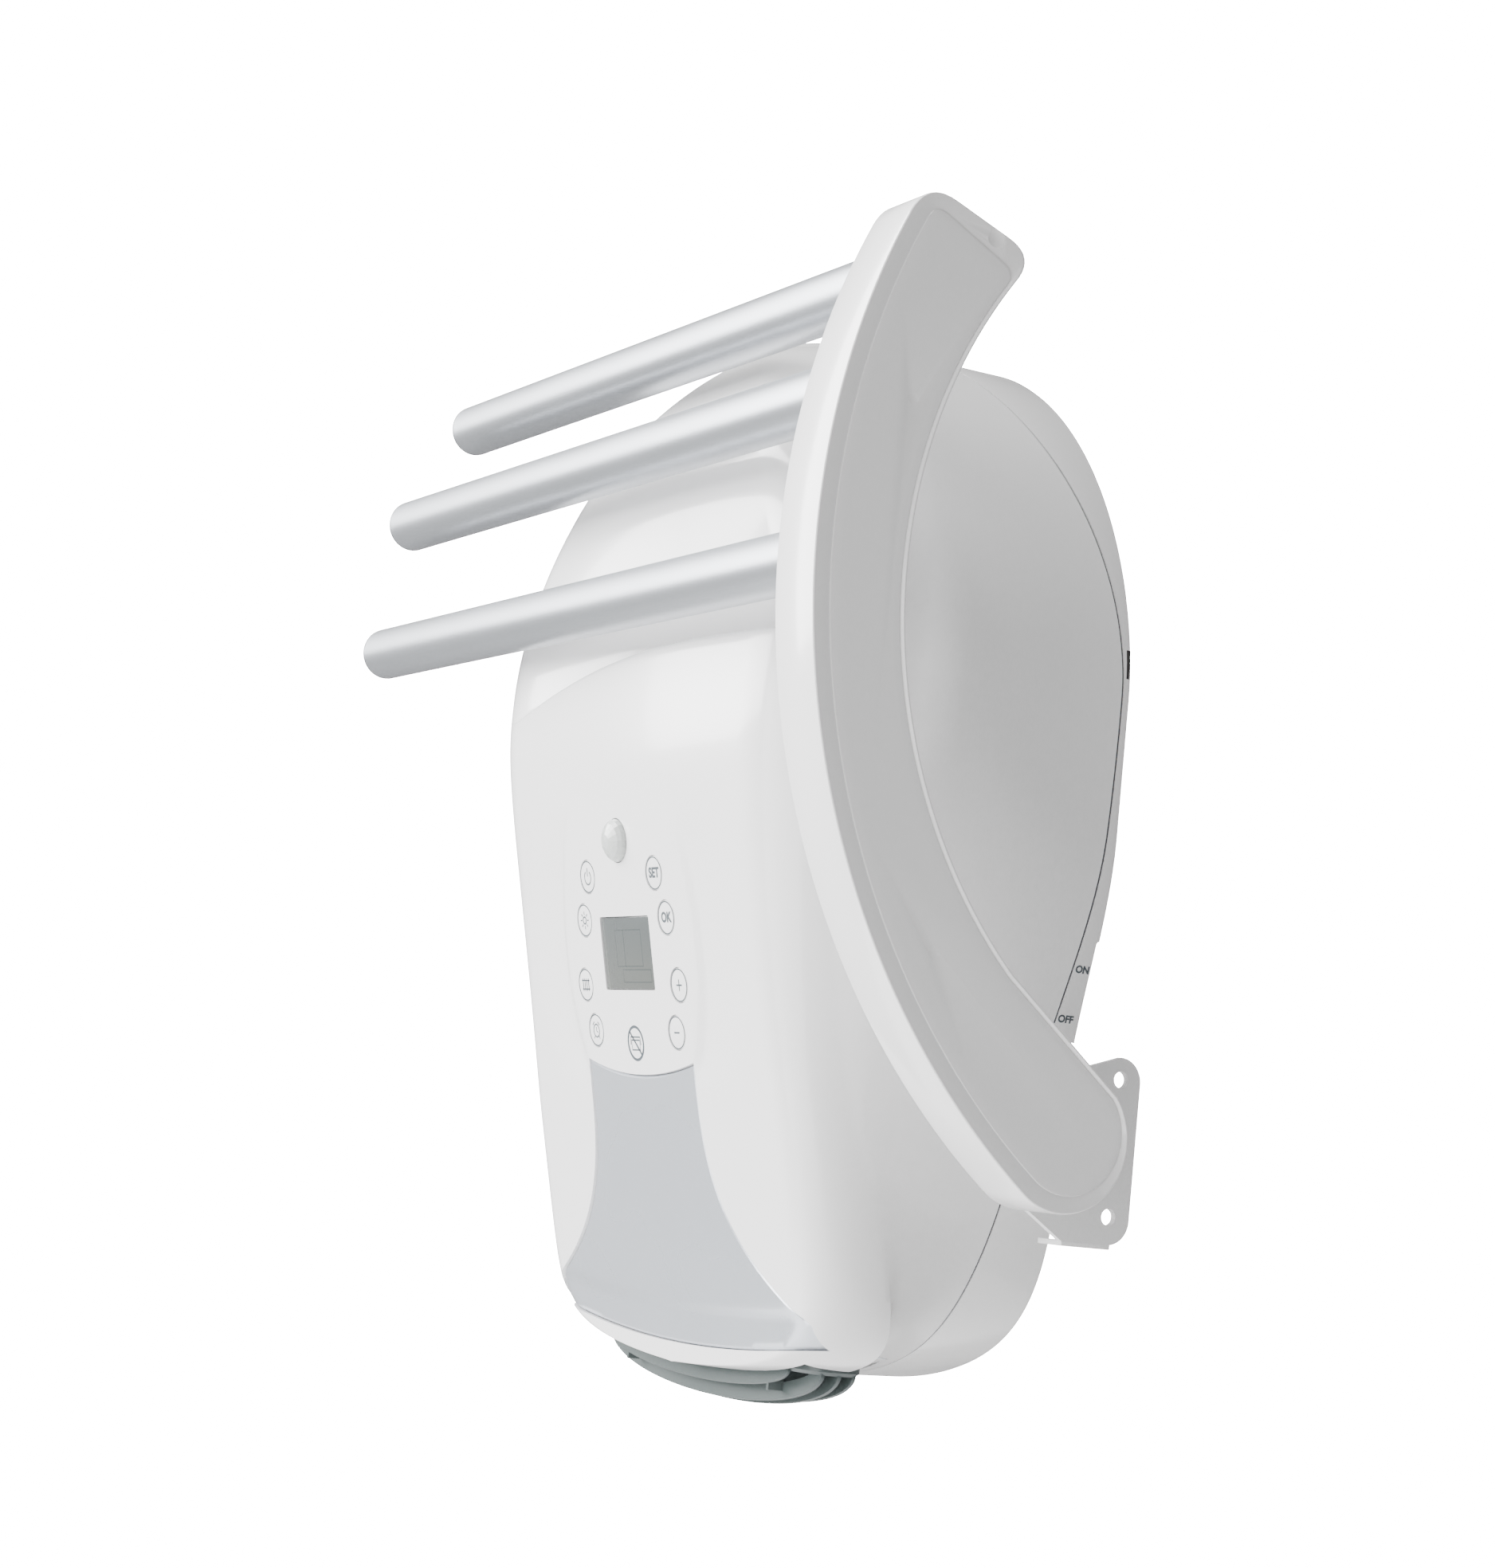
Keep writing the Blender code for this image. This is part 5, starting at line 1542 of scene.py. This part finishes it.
class Bracket:
    """Painted steel bracket between the wall and the rack's pivot."""

    def build(self) -> None:
        """Build the plate, its strap and tab, and the holes."""
        low_x, high_x = 157.6 * MM, 160.4 * MM
        arc = ArmForm.arc
        outline = arc(-57 * MM, -130.8 * MM, 15.5 * MM, math.radians(100), math.radians(262), 48)
        outline += [(-28 * MM, -166 * MM)]
        outline += arc(-9 * MM, -157 * MM, 9 * MM, math.radians(270), math.radians(360), 16)
        outline += arc(-9 * MM, -108 * MM, 9 * MM, 0.0, math.radians(90), 16)
        loops = [[(x, y, z) for y, z in outline] for x in (low_x, high_x)]
        plate = mesh_of("plate", *rings(loops))
        strap = box_mesh("strap", (95 * MM, -2.4 * MM, -152 * MM),
                         (low_x + 1 * MM, -0.02 * MM, -112 * MM), 0.3 * MM)
        tab = box_mesh("tab", (low_x - 14 * MM, -27 * MM, -167.6 * MM),
                       (low_x + 1 * MM, -6 * MM, -165.6 * MM), 0.4 * MM)
        body = boolean(plate, [strap], "UNION")
        body = boolean(body, [tab], "UNION")
        holes = [cylinder_mesh("hole", (low_x, y * MM, z * MM), radius * MM, 0.02)
                 for y, z, radius in ((-57, -130.8, 5.8), (-8.5, -107, 3), (-9, -156, 3))]
        holes += [cylinder_mesh("hole", (110 * MM, 0, z * MM), 2.6 * MM, 0.02, "Y") for z in (-120, -144)]
        body = boolean(body, holes)
        piece("bracket_plate", body, COATED.material(), "housing", "steel_white", "arm_bracket")


# ---- Insides and stage ---------------------------------------------------------------

class Insides:
    """CAD nodes that are shown as they are: they only get their finishes."""

    def build(self, shown: set[str]) -> None:
        """Put the record's finish on every node that has no piece of its own."""
        for row in frame["record"]["subparts"]:
            if row["node"] in shown:
                continue
            finish = SLOT_FINISH[row["material_slot"]].material()
            for slot in frame["nodes"][row["node"]].material_slots:
                slot.material = finish


class Stage:
    """Pale floor, soft lights and the camera."""

    spot = Vector((1.1294, -0.6865, -0.1456))
    turn = math.radians(61.99)
    rise = math.radians(6.39)
    roll = math.radians(5.65)
    lens = 75.1
    aim = Vector((0, -0.06, -0.02))
    ambient = 0.46
    backdrop = 30.0
    floor_place = (0.3, -0.6, -0.86)

    def camera(self) -> None:
        """Place the camera to the right of the heater, a little below its middle."""
        a, b, c = self.turn, self.rise, self.roll
        ahead = Vector((-math.sin(a) * math.cos(b), math.cos(a) * math.cos(b), math.sin(b)))
        right = Vector((math.cos(a), math.sin(a), 0))
        above = right.cross(ahead)
        side = right * math.cos(c) + above * math.sin(c)
        head = above * math.cos(c) - right * math.sin(c)
        data = bpy.data.cameras.new("camera")
        data.lens, data.sensor_width, data.clip_start = self.lens, 36.0, 0.05
        camera = bpy.data.objects.new("camera", data)
        bpy.context.scene.collection.objects.link(camera)
        camera.matrix_world = Matrix((side, head, -ahead)).transposed().to_4x4()
        camera.location = self.spot
        bpy.context.scene.camera = camera

    def light(self, name: str, place: Point, size: float, power: float) -> None:
        """Add a square area light that points at the heater.

        Args:
            name: the light's name.
            place: where it stands.
            size: its side, in metres.
            power: its power, in watts.
        """
        data = bpy.data.lights.new(name, "AREA")
        data.shape, data.size, data.energy = "SQUARE", size, power
        lamp = bpy.data.objects.new(name, data)
        bpy.context.scene.collection.objects.link(lamp)
        lamp.location = place
        lamp.rotation_mode = "QUATERNION"
        lamp.rotation_quaternion = (self.aim - Vector(place)).to_track_quat("-Z", "Y")

    def surroundings(self) -> None:
        """White surroundings, dimmer as light than as background."""
        world = bpy.data.worlds.new("studio")
        bpy.context.scene.world = world
        world.use_nodes = True
        nodes, links = world.node_tree.nodes, world.node_tree.links
        back = nodes["Background"]
        back.inputs["Color"].default_value = (1, 1, 1, 1)
        path = nodes.new("ShaderNodeLightPath")
        strength = nodes.new("ShaderNodeMapRange")
        strength.inputs["To Min"].default_value = self.ambient
        strength.inputs["To Max"].default_value = self.backdrop
        links.new(path.outputs["Is Camera Ray"], strength.inputs["Value"])
        links.new(strength.outputs["Result"], back.inputs["Strength"])

    def floor(self) -> None:
        """A pale disc well below the heater."""
        bm = bmesh.new()
        bmesh.ops.create_cone(bm, cap_ends=True, segments=96, radius1=1.5, radius2=1.5, depth=0.02,
                              matrix=Matrix.Translation(self.floor_place))
        mesh = finished("floor", bm)
        mesh.materials.append(FLOOR.material())
        new_object("floor", mesh)

    def build(self) -> None:
        """Build the stage."""
        self.camera()
        self.surroundings()
        self.floor()
        self.light("key", (-1.6, -2.2, 1.2), 2.6, 430)
        self.light("top", (0.1, -0.5, 2.4), 1.6, 60)
        self.light("front_fill", (0.6, -2.6, -0.5), 2.0, 70)


def main() -> None:
    """Build every sub-assembly, then the stage."""
    logging.basicConfig(level=logging.INFO)
    form = HousingForm()
    FrontShell(form).build()
    RearShell().build(form)
    DecorPanel().build(form)
    Controls(form).build()
    Switch().build(form)
    Intake().build()
    Outlet().build()
    Rack().build()
    Bracket().build()
    Insides().build(set(REPLACED))
    Stage().build()


if __name__ == "__main__":
    main()
